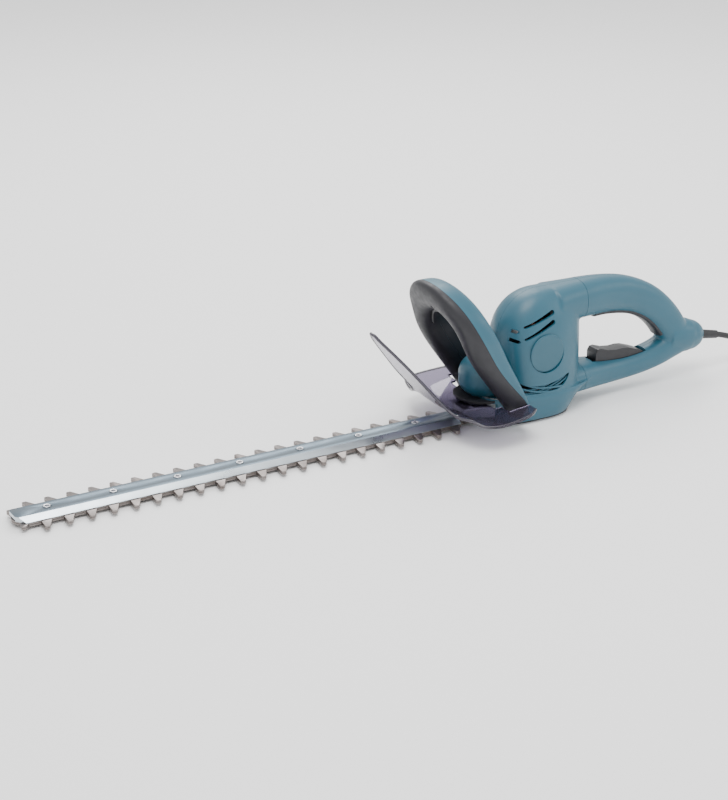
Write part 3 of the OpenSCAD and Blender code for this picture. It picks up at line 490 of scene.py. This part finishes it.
POST_START = 236
POST_REAR = 266
UPPER_PATH = [[222, 131], [255, 131], [280, 131], [304, 130], [328, 126.5], [350, 120], [371, 109.5], [389, 95.5],
              [404, 79], [416, 61]]
UPPER_H = [24, 24, 24, 23.5, 23, 22, 21.5, 21, 21, 21]
UPPER_W = [32, 27, 24, 21, 19, 18, 18, 18, 18, 18.5]
LOWER_PATH = [[226, 33], [255, 31], [280, 30], [306, 28.5], [335, 28.5], [364, 31], [390, 36], [412, 44], [430, 51]]
LOWER_H = [19, 19, 18, 16.5, 15.5, 15.5, 16, 17.5, 19]
LOWER_W = [34, 30, 25, 20.5, 18, 17.5, 17.5, 17.5, 18]
NOSE_PATH = [[406, 57], [424, 54], [438, 51.5], [440, 51.2], [450, 49.6], [457, 48.4], [462, 47.6], [463, 47.4]]
NOSE_R = [22, 22.5, 21.5, 20.5, 18.5, 15, 10.5, 8]


def bar_rings(path, heights, widths, exponent, steps, n=72):
    """Rings along a bent bar in the centre plane."""
    k = len(path) - 1
    u = np.linspace(0, k, k * steps + 1)
    p = curve_at(path, u)
    d = curve_at(path, np.minimum(k, u + 0.05)) - curve_at(path, np.maximum(0, u - 0.05))
    d /= np.linalg.norm(d, axis=1)[:, None]
    h, w = curve_at(heights, u), curve_at(widths, u)
    a = np.linspace(0, 2 * math.pi, n, endpoint=False)
    s, c = spow(np.sin(a), 2 / exponent), spow(np.cos(a), 2 / exponent)
    return [np.stack([p[i, 0] - s * h[i] * d[i, 1], c * w[i], p[i, 1] + s * h[i] * d[i, 0]], 1)
            for i in range(len(u))]


def block_rings():
    """The upright between the motor housing and the hand opening, rounded at its rear."""
    a = np.linspace(0, 2 * math.pi, 96, endpoint=False)
    turn = np.sin(np.linspace(0, 1, 24) * math.pi / 2)
    rings = []
    for x in POST_START + (POST_REAR - POST_START) * turn:
        part = (x - POST_START) / (POST_REAR - POST_START)
        w = float(house_w(x)) * math.sqrt(max(0.0006, 1 - part ** 2.2))
        rise = spow(np.sin(a), 2 / 2.7)
        z = LEDGE_Z + np.where(rise > 0, (HOUSE_TOP - LEDGE_Z) * rise, 14 * rise)
        rings.append(np.stack([np.full_like(a, x), w * spow(np.cos(a), 2 / 2.7), z], 1))
    return rings


def skirt_rings(zs, grow):
    """Rings of the skirt, from the bottom to the ledge."""
    a = np.linspace(0, 2 * math.pi, 128, endpoint=False)
    c, s = spow(np.cos(a), 2 / 3.2), spow(np.sin(a), 2 / 3.2)
    rings = []
    for z in zs:
        zz = max(3.0, z)
        q = float(quarter((12 - zz) / 24, 2)) if zz < 12 else 1.0
        x0 = 118 + (1 - q) * 12 - grow
        x1 = 300 - 52 * float(quarter(zz / 36, 1.5)) + grow
        w = SKIRT_W - (1 - q) * 30 - (0.5 * (zz - 30) if zz > 30 else 0) + grow
        x = np.where(c > 0, 200 + c * (x1 - 200), 200 + c * (200 - x0))
        y = w * s * np.where(c > 0, 1 - 0.35 * c * c, 1)
        rings.append(np.stack([x, y, np.full_like(a, z)], 1))
    return rings


def cut_by(source, name, planes):
    """The part of a solid on the inner side of each plane (point, outward normal), closed again."""
    bm = bmesh.new()
    bm.from_mesh(source.data)
    for point, normal in planes:
        bmesh.ops.bisect_plane(bm, geom=bm.verts[:] + bm.edges[:] + bm.faces[:], dist=1e-7,
                               plane_co=metres(point), plane_no=normal, clear_outer=True)
        rim = [e for e in bm.edges if e.is_boundary]
        bmesh.ops.triangle_fill(bm, edges=rim, use_beauty=True)
        bmesh.ops.recalc_face_normals(bm, faces=bm.faces)
    mesh = bpy.data.meshes.new(name)
    bm.to_mesh(mesh)
    bm.free()
    piece = bpy.data.objects.new(name, mesh)
    bpy.context.scene.collection.objects.link(piece)
    return piece


def centre_groove(piece, half_width=0.3, depth=0.35):
    """A fine groove where the two half shells meet."""
    bm = bmesh.new()
    bm.from_mesh(piece.data)
    for y in (-half_width, half_width, 0):
        bmesh.ops.bisect_plane(bm, geom=bm.verts[:] + bm.edges[:] + bm.faces[:], dist=1e-7,
                               plane_co=(0, y * MM, 0), plane_no=(0, 1, 0))
    bm.normal_update()
    middle = [v for v in bm.verts if abs(v.co.y) < 1e-6]
    moves = [(v, -v.normal * depth * MM) for v in middle if abs(v.normal.y) < 0.5]
    for v, d in moves:
        v.co += d
    bm.to_mesh(piece.data)
    bm.free()
    return piece


def slit_cutter(a, b, ra, rb, y0, y1, name="slit"):
    """A tapering slot through a side wall from a to b, in the XZ plane."""
    a, b = np.array(a, float), np.array(b, float)
    d = (b - a) / np.linalg.norm(b - a)
    side = np.array([-d[1], d[0]])
    outline = []
    for k in range(9):
        t = math.pi / 2 + math.pi * k / 8
        outline.append(a + ra * (math.cos(t) * d + math.sin(t) * side))
    for k in range(9):
        t = -math.pi / 2 + math.pi * k / 8
        outline.append(b + rb * (math.cos(t) * d + math.sin(t) * side))
    cutter = prism(name, outline, y0, y1, "y")
    # The slot's inside faces take the painted-shade material
    cutter.data.materials.append(vent_painted_shade)
    return cutter


def disc_cutter(x, z, r, y0, y1, n=128):
    a = np.linspace(0, 2 * math.pi, n, endpoint=False)
    return prism("disc", np.stack([x + r * np.cos(a), z + r * np.sin(a)], 1), y0, y1, "y")


BADGE_Y = 42.6
# Cooling slits: ends in x and z, and the radius at each end
VENTS = [((169, 119), (207, 132), 1.5, 2.9), ((168, 105), (206, 121), 1.5, 2.9),
         ((152.5, 115), (160.5, 113.5), 2.2, 2.2), ((152.5, 104.5), (160.5, 102), 2.2, 2.2)]
# Room behind the crossing louvres, and the two families of louvres
LOUVRE_ROOM = [(150, 62), (160, 53), (172, 47.5), (190, 46), (208, 48.5), (222, 53), (229, 53), (224, 44.5),
               (214, 38.5), (200, 36.6), (172, 36.6), (158, 39), (151, 46)]
LOUVRES = [[(150, 58), (166, 49), (188, 42.5), (222, 39)], [(149, 50), (162, 44), (182, 38.5), (204, 35)],
           [(156, 36), (182, 38), (206, 44), (230, 54)], [(170, 35), (192, 37), (212, 42), (230, 49)],
           [(150, 42), (172, 41.5), (196, 45), (216, 52)]]


def make_shells():
    """The motor housing, the skirt and the rear handle: one smooth skin, then parted at the seams."""
    skin = join("skin", [
        tube("house", house_rings(0, POST_START + 1)),
        tube("block", block_rings()),
        tube("upper", bar_rings(UPPER_PATH, UPPER_H, UPPER_W, 2.5, 8)),
        tube("lower", bar_rings(LOWER_PATH, LOWER_H, LOWER_W, 2.6, 8)),
        tube("gland", bar_rings(NOSE_PATH, NOSE_R, [r * 0.9 for r in NOSE_R], 2.2, 6)),
        tube("tub", skirt_rings([2.8, 4, 6, 8, 10, 13, 16, 20, 24, 28, 30, 31.5, 33, LEDGE_Z], 0)),
    ])
    m = skin.modifiers.new("remesh", "REMESH")
    m.mode = "VOXEL"
    m.voxel_size = 1.15 * MM
    m = skin.modifiers.new("smooth", "SMOOTH")
    m.factor = 0.6
    m.iterations = 16
    settle(skin)
    skin.data.shade_smooth()

    housing = cut_by(skin, "motor_housing", [((SEAM_X - 0.25, 0, 0), (1, 0, 0)), ((0, 0, LEDGE_Z), (0, 0, -1))])
    skirt = cut_by(skin, "housing_skirt", [((SEAM_X - 0.25, 0, 0), (1, 0, 0)), ((0, 0, LEDGE_Z - 0.15), (0, 0, 1))])
    handle = cut_by(skin, "rear_handle", [((SEAM_X + 0.25, 0, 0), (-1, 0, 0))])
    bpy.data.objects.remove(skin)

    centre_groove(housing)
    hollow = tube("hollow", house_rings(WALL, POST_START - 6))
    cutters = [hollow]
    for side in (-1, 1):
        y0, y1 = sorted((side * 20, side * 60))
        cutters += [slit_cutter(*v, y0, y1) for v in VENTS]
        y0, y1 = sorted((side * 24, side * 60))
        room = prism("louvre_room", curve_at(LOUVRE_ROOM + LOUVRE_ROOM[:1], np.linspace(0, 12.8, 66)), y0, y1, "y")
        # The room's inside faces take the painted-shade material
        room.data.materials.append(vent_painted_shade)
        cutters.append(room)
        y0, y1 = sorted((side * (BADGE_Y - 1), side * 60))
        cutters.append(disc_cutter(195, 85, 24.2, y0, y1))
    carve(housing, cutters)
    soften(housing, 40)

    carve(skirt, [tube("tub_room", skirt_rings([0, 3, 8, 16, 24, 31, LEDGE_Z + 2], -3.2))] + [
        prism("blade_way", [(90, -36), (130, -36), (130, 36), (90, 36)], 0, 30)])
    soften(skirt, 40)

    centre_groove(handle)
    slot = prism("slot", [(286.5, 29.5), (328, 29.5), (334, 33), (369.5, 33), (369.5, 78), (286.5, 78)],
                 -10.4, 10.4, "y")
    gland = tube("gland_hole", [np.stack([
        np.full(40, x), 6.4 * np.cos(np.linspace(0, 2 * math.pi, 40, endpoint=False)),
        z + 6.4 * np.sin(np.linspace(0, 2 * math.pi, 40, endpoint=False))], 1)
        for x, z in ((440, 51.9), (480, 44.2))])
    carve(handle, [slot, gland])
    soften(handle, 40)

    for piece, replaced in ((housing, ("housing_left", "housing_right")), (skirt, ("skirt",)),
                            (handle, ("handle_left", "handle_right"))):
        # Faces cut by the vent cutters keep the painted-shade material as their second slot
        materials = [mats["teal_plastic"], vent_painted_shade] if piece is housing else [mats["teal_plastic"]]
        painted_shade_index = [p.material_index for p in piece.data.polygons]
        piece.data.materials.clear()
        for mat in materials:
            piece.data.materials.append(mat)
        piece.data.polygons.foreach_set("material_index", [min(d, len(materials) - 1) for d in painted_shade_index])
        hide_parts(*replaced)
        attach(piece, "tool_body")


make_shells()


def wall_y(x, z):
    """Half width of the housing's skin at a height."""
    part = np.clip((z - LEDGE_Z + 2) / (house_top(x) - LEDGE_Z + 2), 0, 1)
    return house_w(x) * quarter(part, 2.7)


def make_louvres():
    """Curved bars that cross over the cooling room, low on both sides of the housing."""
    for side in (-1, 1):
        bars = []
        for k, points in enumerate(LOUVRES):
            line = curve_at(points, np.linspace(0, 3, 40))
            depth = 1.6 if k < 2 else 3.4
            a = np.linspace(0, 2 * math.pi, 12, endpoint=False)
            rings = []
            for x, z in line:
                y = float(wall_y(x, z)) - depth
                rings.append(np.stack([np.full(12, x), side * (y + 1.5 * np.sin(a)), z + 1.35 * np.cos(a)], 1))
            bars.append(tube("louvre_bar", rings))
        give(join("louvres_left" if side < 0 else "louvres_right", bars), "tool_body", "teal_plastic")


make_louvres()


def make_badges():
    """Plain round badges with a raised rim, in the recesses of the housing."""
    for side, node in ((-1, "badge_left"), (1, "badge_right")):
        profile = [(0, 0.75), (12, 0.7), (21, 0.55), (22.8, 0.5), (23.4, 0.3), (23.6, -0.1), (23.6, -0.8), (0, -0.8)]
        n = 128
        a = np.linspace(0, 2 * math.pi, n, endpoint=False)
        y0 = BADGE_Y - 0.6
        rings = [np.stack([195 + r * np.cos(a), np.full(n, side * (y0 + h)), 85 + r * np.sin(a)], 1)
                 for r, h in profile[1:-1]]
        piece = tube(node + "_disc", rings)
        soften(piece, 50)
        give(piece, "tool_body", "teal_badge", node)


make_badges()


# ---------------------------------------------------------------- nose
def nose_rings(grow):
    rings = []
    for z in np.concatenate([np.linspace(34.2, 52, 12), np.linspace(55, 84, 18)]):
        q = float(quarter((52 - z) / 26, 2) * quarter((z - 60) / 26, 2.4))
        w = 29 * q + grow
        x0 = 146 - 45 * q - grow
        t = np.linspace(math.pi / 2, 3 * math.pi / 2, 64)
        rings.append(np.stack([151.5 + (151.5 - x0) * spow(np.cos(t), 0.85), w * spow(np.sin(t), 0.85),
                               np.full_like(t, z)], 1))
    return rings


def make_nose():
    nose = tube("nose_shell", nose_rings(0))
    m = nose.modifiers.new("remesh", "REMESH")
    m.mode = "VOXEL"
    m.voxel_size = 0.9 * MM
    m = nose.modifiers.new("smooth", "SMOOTH")
    m.factor = 0.5
    m.iterations = 5
    settle(nose)
    nose.data.shade_smooth()
    give(nose, "tool_body", "teal_plastic", "nose_cover")
    t = np.linspace(-math.pi / 2, math.pi / 2, 72)
    front = np.stack([128 - 31 * np.abs(np.cos(t)) ** 0.85, 33 * spow(np.sin(t), 0.85)], 1)
    y = np.linspace(30, -30, 40)
    rear = np.stack([200 - 82.3 * quarter(np.abs(y) / (SKIRT_W + 0.3), 3.2), y], 1)
    collar = bevelled(prism("nose_collar_band", np.concatenate([front, rear]), 31.2, 34.3), 0.5, 3)
    give(collar, "tool_body", "black_rubber", "nose_collar")


make_nose()


# ---------------------------------------------------------------- front handle
FRONT_EDGE = np.array([[20, 136], [40, 122], [60, 107], [82, 91], [97, 81], [112, 73], [139, 63], [160, 52],
                       [178, 44], [190, 40]], float)
REAR_EDGE = np.array([[20, 157], [40, 153], [55, 147], [96, 125], [141, 103], [162, 93], [175, 86], [186, 79],
                      [190, 77]], float)
SEAM_DEPTH = np.array([[20, 2], [40, 3], [51, 9], [70, 16], [88, 20], [125, 23], [190, 25]], float)


def smooth_table(table, z):
    """A rounded lookup: the mean of the straight-line lookup over a short span."""
    return sum(np.interp(z + dz, table[:, 0], table[:, 1]) for dz in np.linspace(-7, 7, 9)) / 9


def loop_front(z):
    return smooth_table(FRONT_EDGE, z)


def loop_back(z):
    return smooth_table(REAR_EDGE, z)


def loop_seam(z):
    return loop_back(z) - smooth_table(SEAM_DEPTH, z)


LOOP_IN = 36


def loop_outer(u):
    v = np.radians(u)
    arc = abs(u) < 90
    return np.array([LOOP_W * spow(math.sin(v), 0.91), 112 + (LOOP_TOP - 112) * abs(math.cos(v)) ** 0.91]) if arc \
        else np.array([np.sign(u) * LOOP_W, 112 - (abs(u) - 90) * 92 / 60])


def loop_inner(u):
    v = np.radians(u)
    arc = abs(u) < 90
    return np.array([LOOP_IN * spow(math.sin(v), 0.91), 106 + 42 * abs(math.cos(v)) ** 0.91]) if arc \
        else np.array([np.sign(u) * (LOOP_IN + 5.4 * float(ease((abs(u) - 90) / 60))), 106 - (abs(u) - 90) * 86 / 60])


def loop_arc(u, inset, which, n, exponent):
    """One section of the front (-1) or rear (1) half of the loop."""
    o, i = loop_outer(u), loop_inner(u)
    c, r = (o + i) / 2, (o - i) / 2
    r = r * (1 - inset / np.linalg.norm(r))
    a = np.linspace(-math.pi / 2, math.pi / 2, n)
    k, f = spow(np.sin(a), 2 / exponent), np.abs(np.cos(a)) ** (2 / exponent)
    y, z = c[0] + k * r[0], c[1] + k * r[1]
    s = loop_seam(z)
    if which > 0:
        x = s + 0.1 + f * np.maximum(0.4, loop_back(z) - s - 0.1 - inset)
    else:
        x = s - 0.1 - f * (s - 0.1 - loop_front(z) - inset)
    return np.stack([x, y, z], 1)


def lever_rings(grow, up):
    """Sections of the switch lever in the top of the loop."""
    e = 76 if grow > 0 else 70
    rings = []
    for u in np.linspace(-e, e, 41):
        i, o = loop_inner(u), loop_outer(u)
        d = (o - i) / np.linalg.norm(o - i)
        a = i - d * (3 + grow)
        b = i + d * (6 + grow) + np.array([0, up])
        x0, x1 = loop_front(i[1]) + 11 - grow, loop_back(i[1] - up) - 10 + grow
        if grow > 0:
            rings.append([[x0, *b], [x1, *b], [x1, *a], [x0, *a]])
        else:
            r = 2.2
            rings.append([[x0, *b], [x1, *b], [x1, *(a + d * r)], [x1 - r * 0.3, *(a + d * r * 0.3)], [x1 - r, *a],
                          [x0 + r, *a], [x0 + r * 0.3, *(a + d * r * 0.3)], [x0, *(a + d * r)]])
    return rings


def make_loop():
    us = np.concatenate([np.linspace(-150, -90, 40)[:-1], np.linspace(-90, 90, 110), np.linspace(90, 150, 40)[1:]])
    for which, name, node, mat, e in ((-1, "loop_front_shell", "front_loop_front", "black_rubber", 2.4),
                                      (1, "loop_rear_shell", "front_loop_rear", "teal_plastic", 4.2)):
        outer = [loop_arc(u, 0, which, 40, e) for u in us]
        inner = [loop_arc(u, WALL, which, 40, e) for u in us]
        shell = wall_between(name, outer, inner)
        cutters = [tube("lever_room", lever_rings(0.8, LEVER_TRAVEL + 0.6))]
        if which < 0:
            cutters.append(prism("notch", [(40, 150.5), (75, 150.5), (75, 157.5), (40, 157.5)], -4.5, 0, "y"))
        carve(shell, cutters)
        soften(shell, 40)
        give(shell, "tool_body", mat, node)
        if which > 0:
            shell.data.materials.append(mats["black_rubber"])
            for p in shell.data.polygons:
                y, z = p.center.y / MM, p.center.z / MM
                inward = np.array([-y, 106 - z]) if z > 106 else np.array([-np.sign(y), 0.0])
                facing = p.normal.y * inward[0] + p.normal.z * inward[1]
                if facing > 0.4 * np.linalg.norm(inward) and abs(y) < LOOP_IN + 9:
                    p.material_index = 1
    lever = tube("switch_lever", lever_rings(0, 0))
    soften(lever, 30)
    give(lever, "front_switch_lever", "black_plastic", "front_lever")


make_loop()


# ---------------------------------------------------------------- guard
GUARD_PATH = [[152, 31], [140, 29.5], [120, 27.5], [100, 26], [86, 25.5], [76, 26.5], [67, 31], [58, 39.5], [46, 53],
              [28, 74], [10, 96], [-6, 115], [-17, 128], [-22, 135], [-23.5, 136]]
GUARD_HALF = [84, 93, 97, 98, 95, 88, 72, 42, 33, 31.5, 25.5, 17, 9.5, 4.5, 2]
GUARD_T = 2.6
RIM_R = 1.9
RIM_V = 0.98


def guard_surface(u, v):
    """Point of the guard's middle surface: u along its centre line from the rear, v across it."""
    p = curve_at(GUARD_PATH, u)[0]
    w = float(curve_at(GUARD_HALF, u)[0]) * GUARD_W / 98
    y = v * w
    lift = 5 * float(ease(abs(y) / 70)) * (1 - float(ease((u - 5) / 3)))
    fade = float(ease((u - 5) / 1.5)) * (1 - float(ease((u - 8) / 1.5)))
    drop = -float(ease((abs(y) - 30) / 30)) * (p[1] - 31) * fade
    return np.array([p[0], y, p[1] + lift + drop])


def make_guard():
    us = np.linspace(0, 14, 113)
    vs = np.linspace(-1, 1, 81)
    mid = np.array([[guard_surface(u, v) for v in vs] for u in us])
    du = np.gradient(mid, axis=0)
    dv = np.gradient(mid, axis=1)
    normal = np.cross(du, dv)
    normal /= np.linalg.norm(normal, axis=2)[:, :, None] + 1e-9
    sheet = wall_between("guard_sheet", mid + normal * GUARD_T / 2, mid - normal * GUARD_T / 2)
    cutters = [prism("skirt_gap", [(117.4, -50), (180, -50), (180, 50), (117.4, 50)], 0, 60)]
    for s in (-1, 1):
        y0, y1 = sorted((s * 40, s * 68.8))
        cutters.append(prism("foot_gap", [(125, y0), (170, y0), (170, y1), (125, y1)], 10, 60))
    carve(sheet, cutters)
    soften(sheet, 45)
    give(sheet, "tool_body", "smoke_guard", "guard")

    edge = [guard_surface(u, -RIM_V) for u in us] + [guard_surface(u, RIM_V) for u in us[::-1]]
    edge = np.array(edge)
    keep = np.concatenate([[True], np.linalg.norm(np.diff(edge, axis=0), axis=1) > 0.4])
    edge = edge[keep]
    tangent = np.gradient(edge, axis=0)
    tangent /= np.linalg.norm(tangent, axis=1)[:, None]
    rings = []
    for p, t in zip(edge, tangent):
        side = np.cross(t, [0, 0, 1.0])
        side /= np.linalg.norm(side) + 1e-9
        upv = np.cross(side, t)
        a = np.linspace(0, 2 * math.pi, 10, endpoint=False)
        rings.append(p + RIM_R * (np.cos(a)[:, None] * side + np.sin(a)[:, None] * upv))
    rim = tube("guard_rim_bead", rings)
    rim.data.materials.append(guard_rim)
    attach(rim, "tool_body")


make_guard()


# ---------------------------------------------------------------- bar and blades
def make_cutters():
    bar = copy_of("guide_bar", "guide_bar_shaped", 0.35, 2)
    bar.data.materials.clear()
    for mat in (mats["bar_alloy"], bar_top_painted_reflection):
        bar.data.materials.append(mat)
    # Faces that point up take the painted-reflection copy of the alloy
    for p in bar.data.polygons:
        p.material_index = 1 if p.normal.z > 0.97 else 0
    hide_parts("guide_bar")
    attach(bar, "tool_body")
    give(copy_of("upper_blade", "upper_blade_ground", 0.35, 2), "upper_cutter", "blade_steel", "upper_blade")
    give(copy_of("lower_blade", "lower_blade_ground", 0.35, 2), "lower_cutter", "blade_steel", "lower_blade")
    give(copy_of("blade_nuts", "blade_nuts_turned", 0.3, 2), "tool_body", "bright_steel", "blade_nuts")
    give(copy_of("blade_screws", "blade_screws_turned", 0.3, 2), "tool_body", "dark_steel", "blade_screws")
    give(copy_of("base_plate", "base_plate_moulded", 0.4, 2), "tool_body", "black_plastic", "base_plate")
    give(copy_of("gear_housing", "gear_housing_cast", 0.5, 2), "tool_body", "cast_aluminium", "gear_housing")


make_cutters()


# ---------------------------------------------------------------- trigger and grip
def make_trigger():
    give(copy_of("trigger", "trigger_moulded", 1.6, 4), "rear_trigger", "black_plastic", "trigger")


make_trigger()


def make_grip():
    path = UPPER_PATH[2:]
    us = np.linspace(0.3, 6.3, 70)
    rings = []
    for u in us:
        d = (curve_at(path, u + 0.05) - curve_at(path, u - 0.05))[0]
        d /= np.linalg.norm(d)
        p = curve_at(path, u)[0]
        h = float(curve_at(UPPER_H[2:], u)[0])
        w = float(curve_at(UPPER_W[2:], u)[0]) + 1.2
        a = np.linspace(0, 2 * math.pi, 48, endpoint=False)
        s = -h + 3.2 + 4.6 * spow(np.sin(a), 0.6)
        c = w * 0.62 * spow(np.cos(a), 0.8)
        rings.append(np.stack([p[0] - s * d[1], c, p[1] + s * d[0]], 1))
    grip = soften(tube("grip_strip", rings), 50)
    give(grip, "tool_body", "black_rubber", "grip_pad")


make_grip()


# ---------------------------------------------------------------- finishes of the other parts
def finish_nodes():
    slots = {s["node"]: s["material_slot"] for s in frame["record"]["subparts"]}
    for name, node in nodes.items():
        if node.hide_render:
            continue
        mat = mats[slots[name]]
        if not node.material_slots:
            node.data.materials.append(mat)
        for s in node.material_slots:
            s.material = mat


finish_nodes()


# ---------------------------------------------------------------- floor and light
def make_stage():
    floor_mat, n, l, p = base_material("floor")
    p.inputs["Base Color"].default_value = (0.93, 0.93, 0.93, 1)
    p.inputs["Roughness"].default_value = 0.75
    floor = place("floor", [(-9000, -9000, 0), (9000, -9000, 0), (9000, 9000, 0), (-9000, 9000, 0)], [(0, 1, 2, 3)])
    floor.location.z = -0.0002
    floor.data.materials.append(floor_mat)
    world = bpy.data.worlds.new("studio")
    bpy.context.scene.world = world
    world.use_nodes = True
    world.node_tree.nodes["Background"].inputs["Color"].default_value = (1, 1, 1, 1)
    world.node_tree.nodes["Background"].inputs["Strength"].default_value = 1.25

    def area(name, place_at, aim, size, power):
        data = bpy.data.lights.new(name, "AREA")
        data.size = size
        data.energy = power
        lamp = bpy.data.objects.new(name, data)
        bpy.context.scene.collection.objects.link(lamp)
        lamp.location = place_at
        lamp.rotation_euler = (Vector(aim) - Vector(place_at)).to_track_quat("-Z", "Y").to_euler()

    area("key", (-0.2, -0.5, 2.4), (0.1, 0, 0.08), 1.5, 46)
    area("rim", (0.7, 1.5, 1.8), (0.1, 0, 0.1), 1.4, 34)
    area("side", (2.0, -1.2, 1.1), (0.25, 0, 0.08), 1.0, 8)


make_stage()
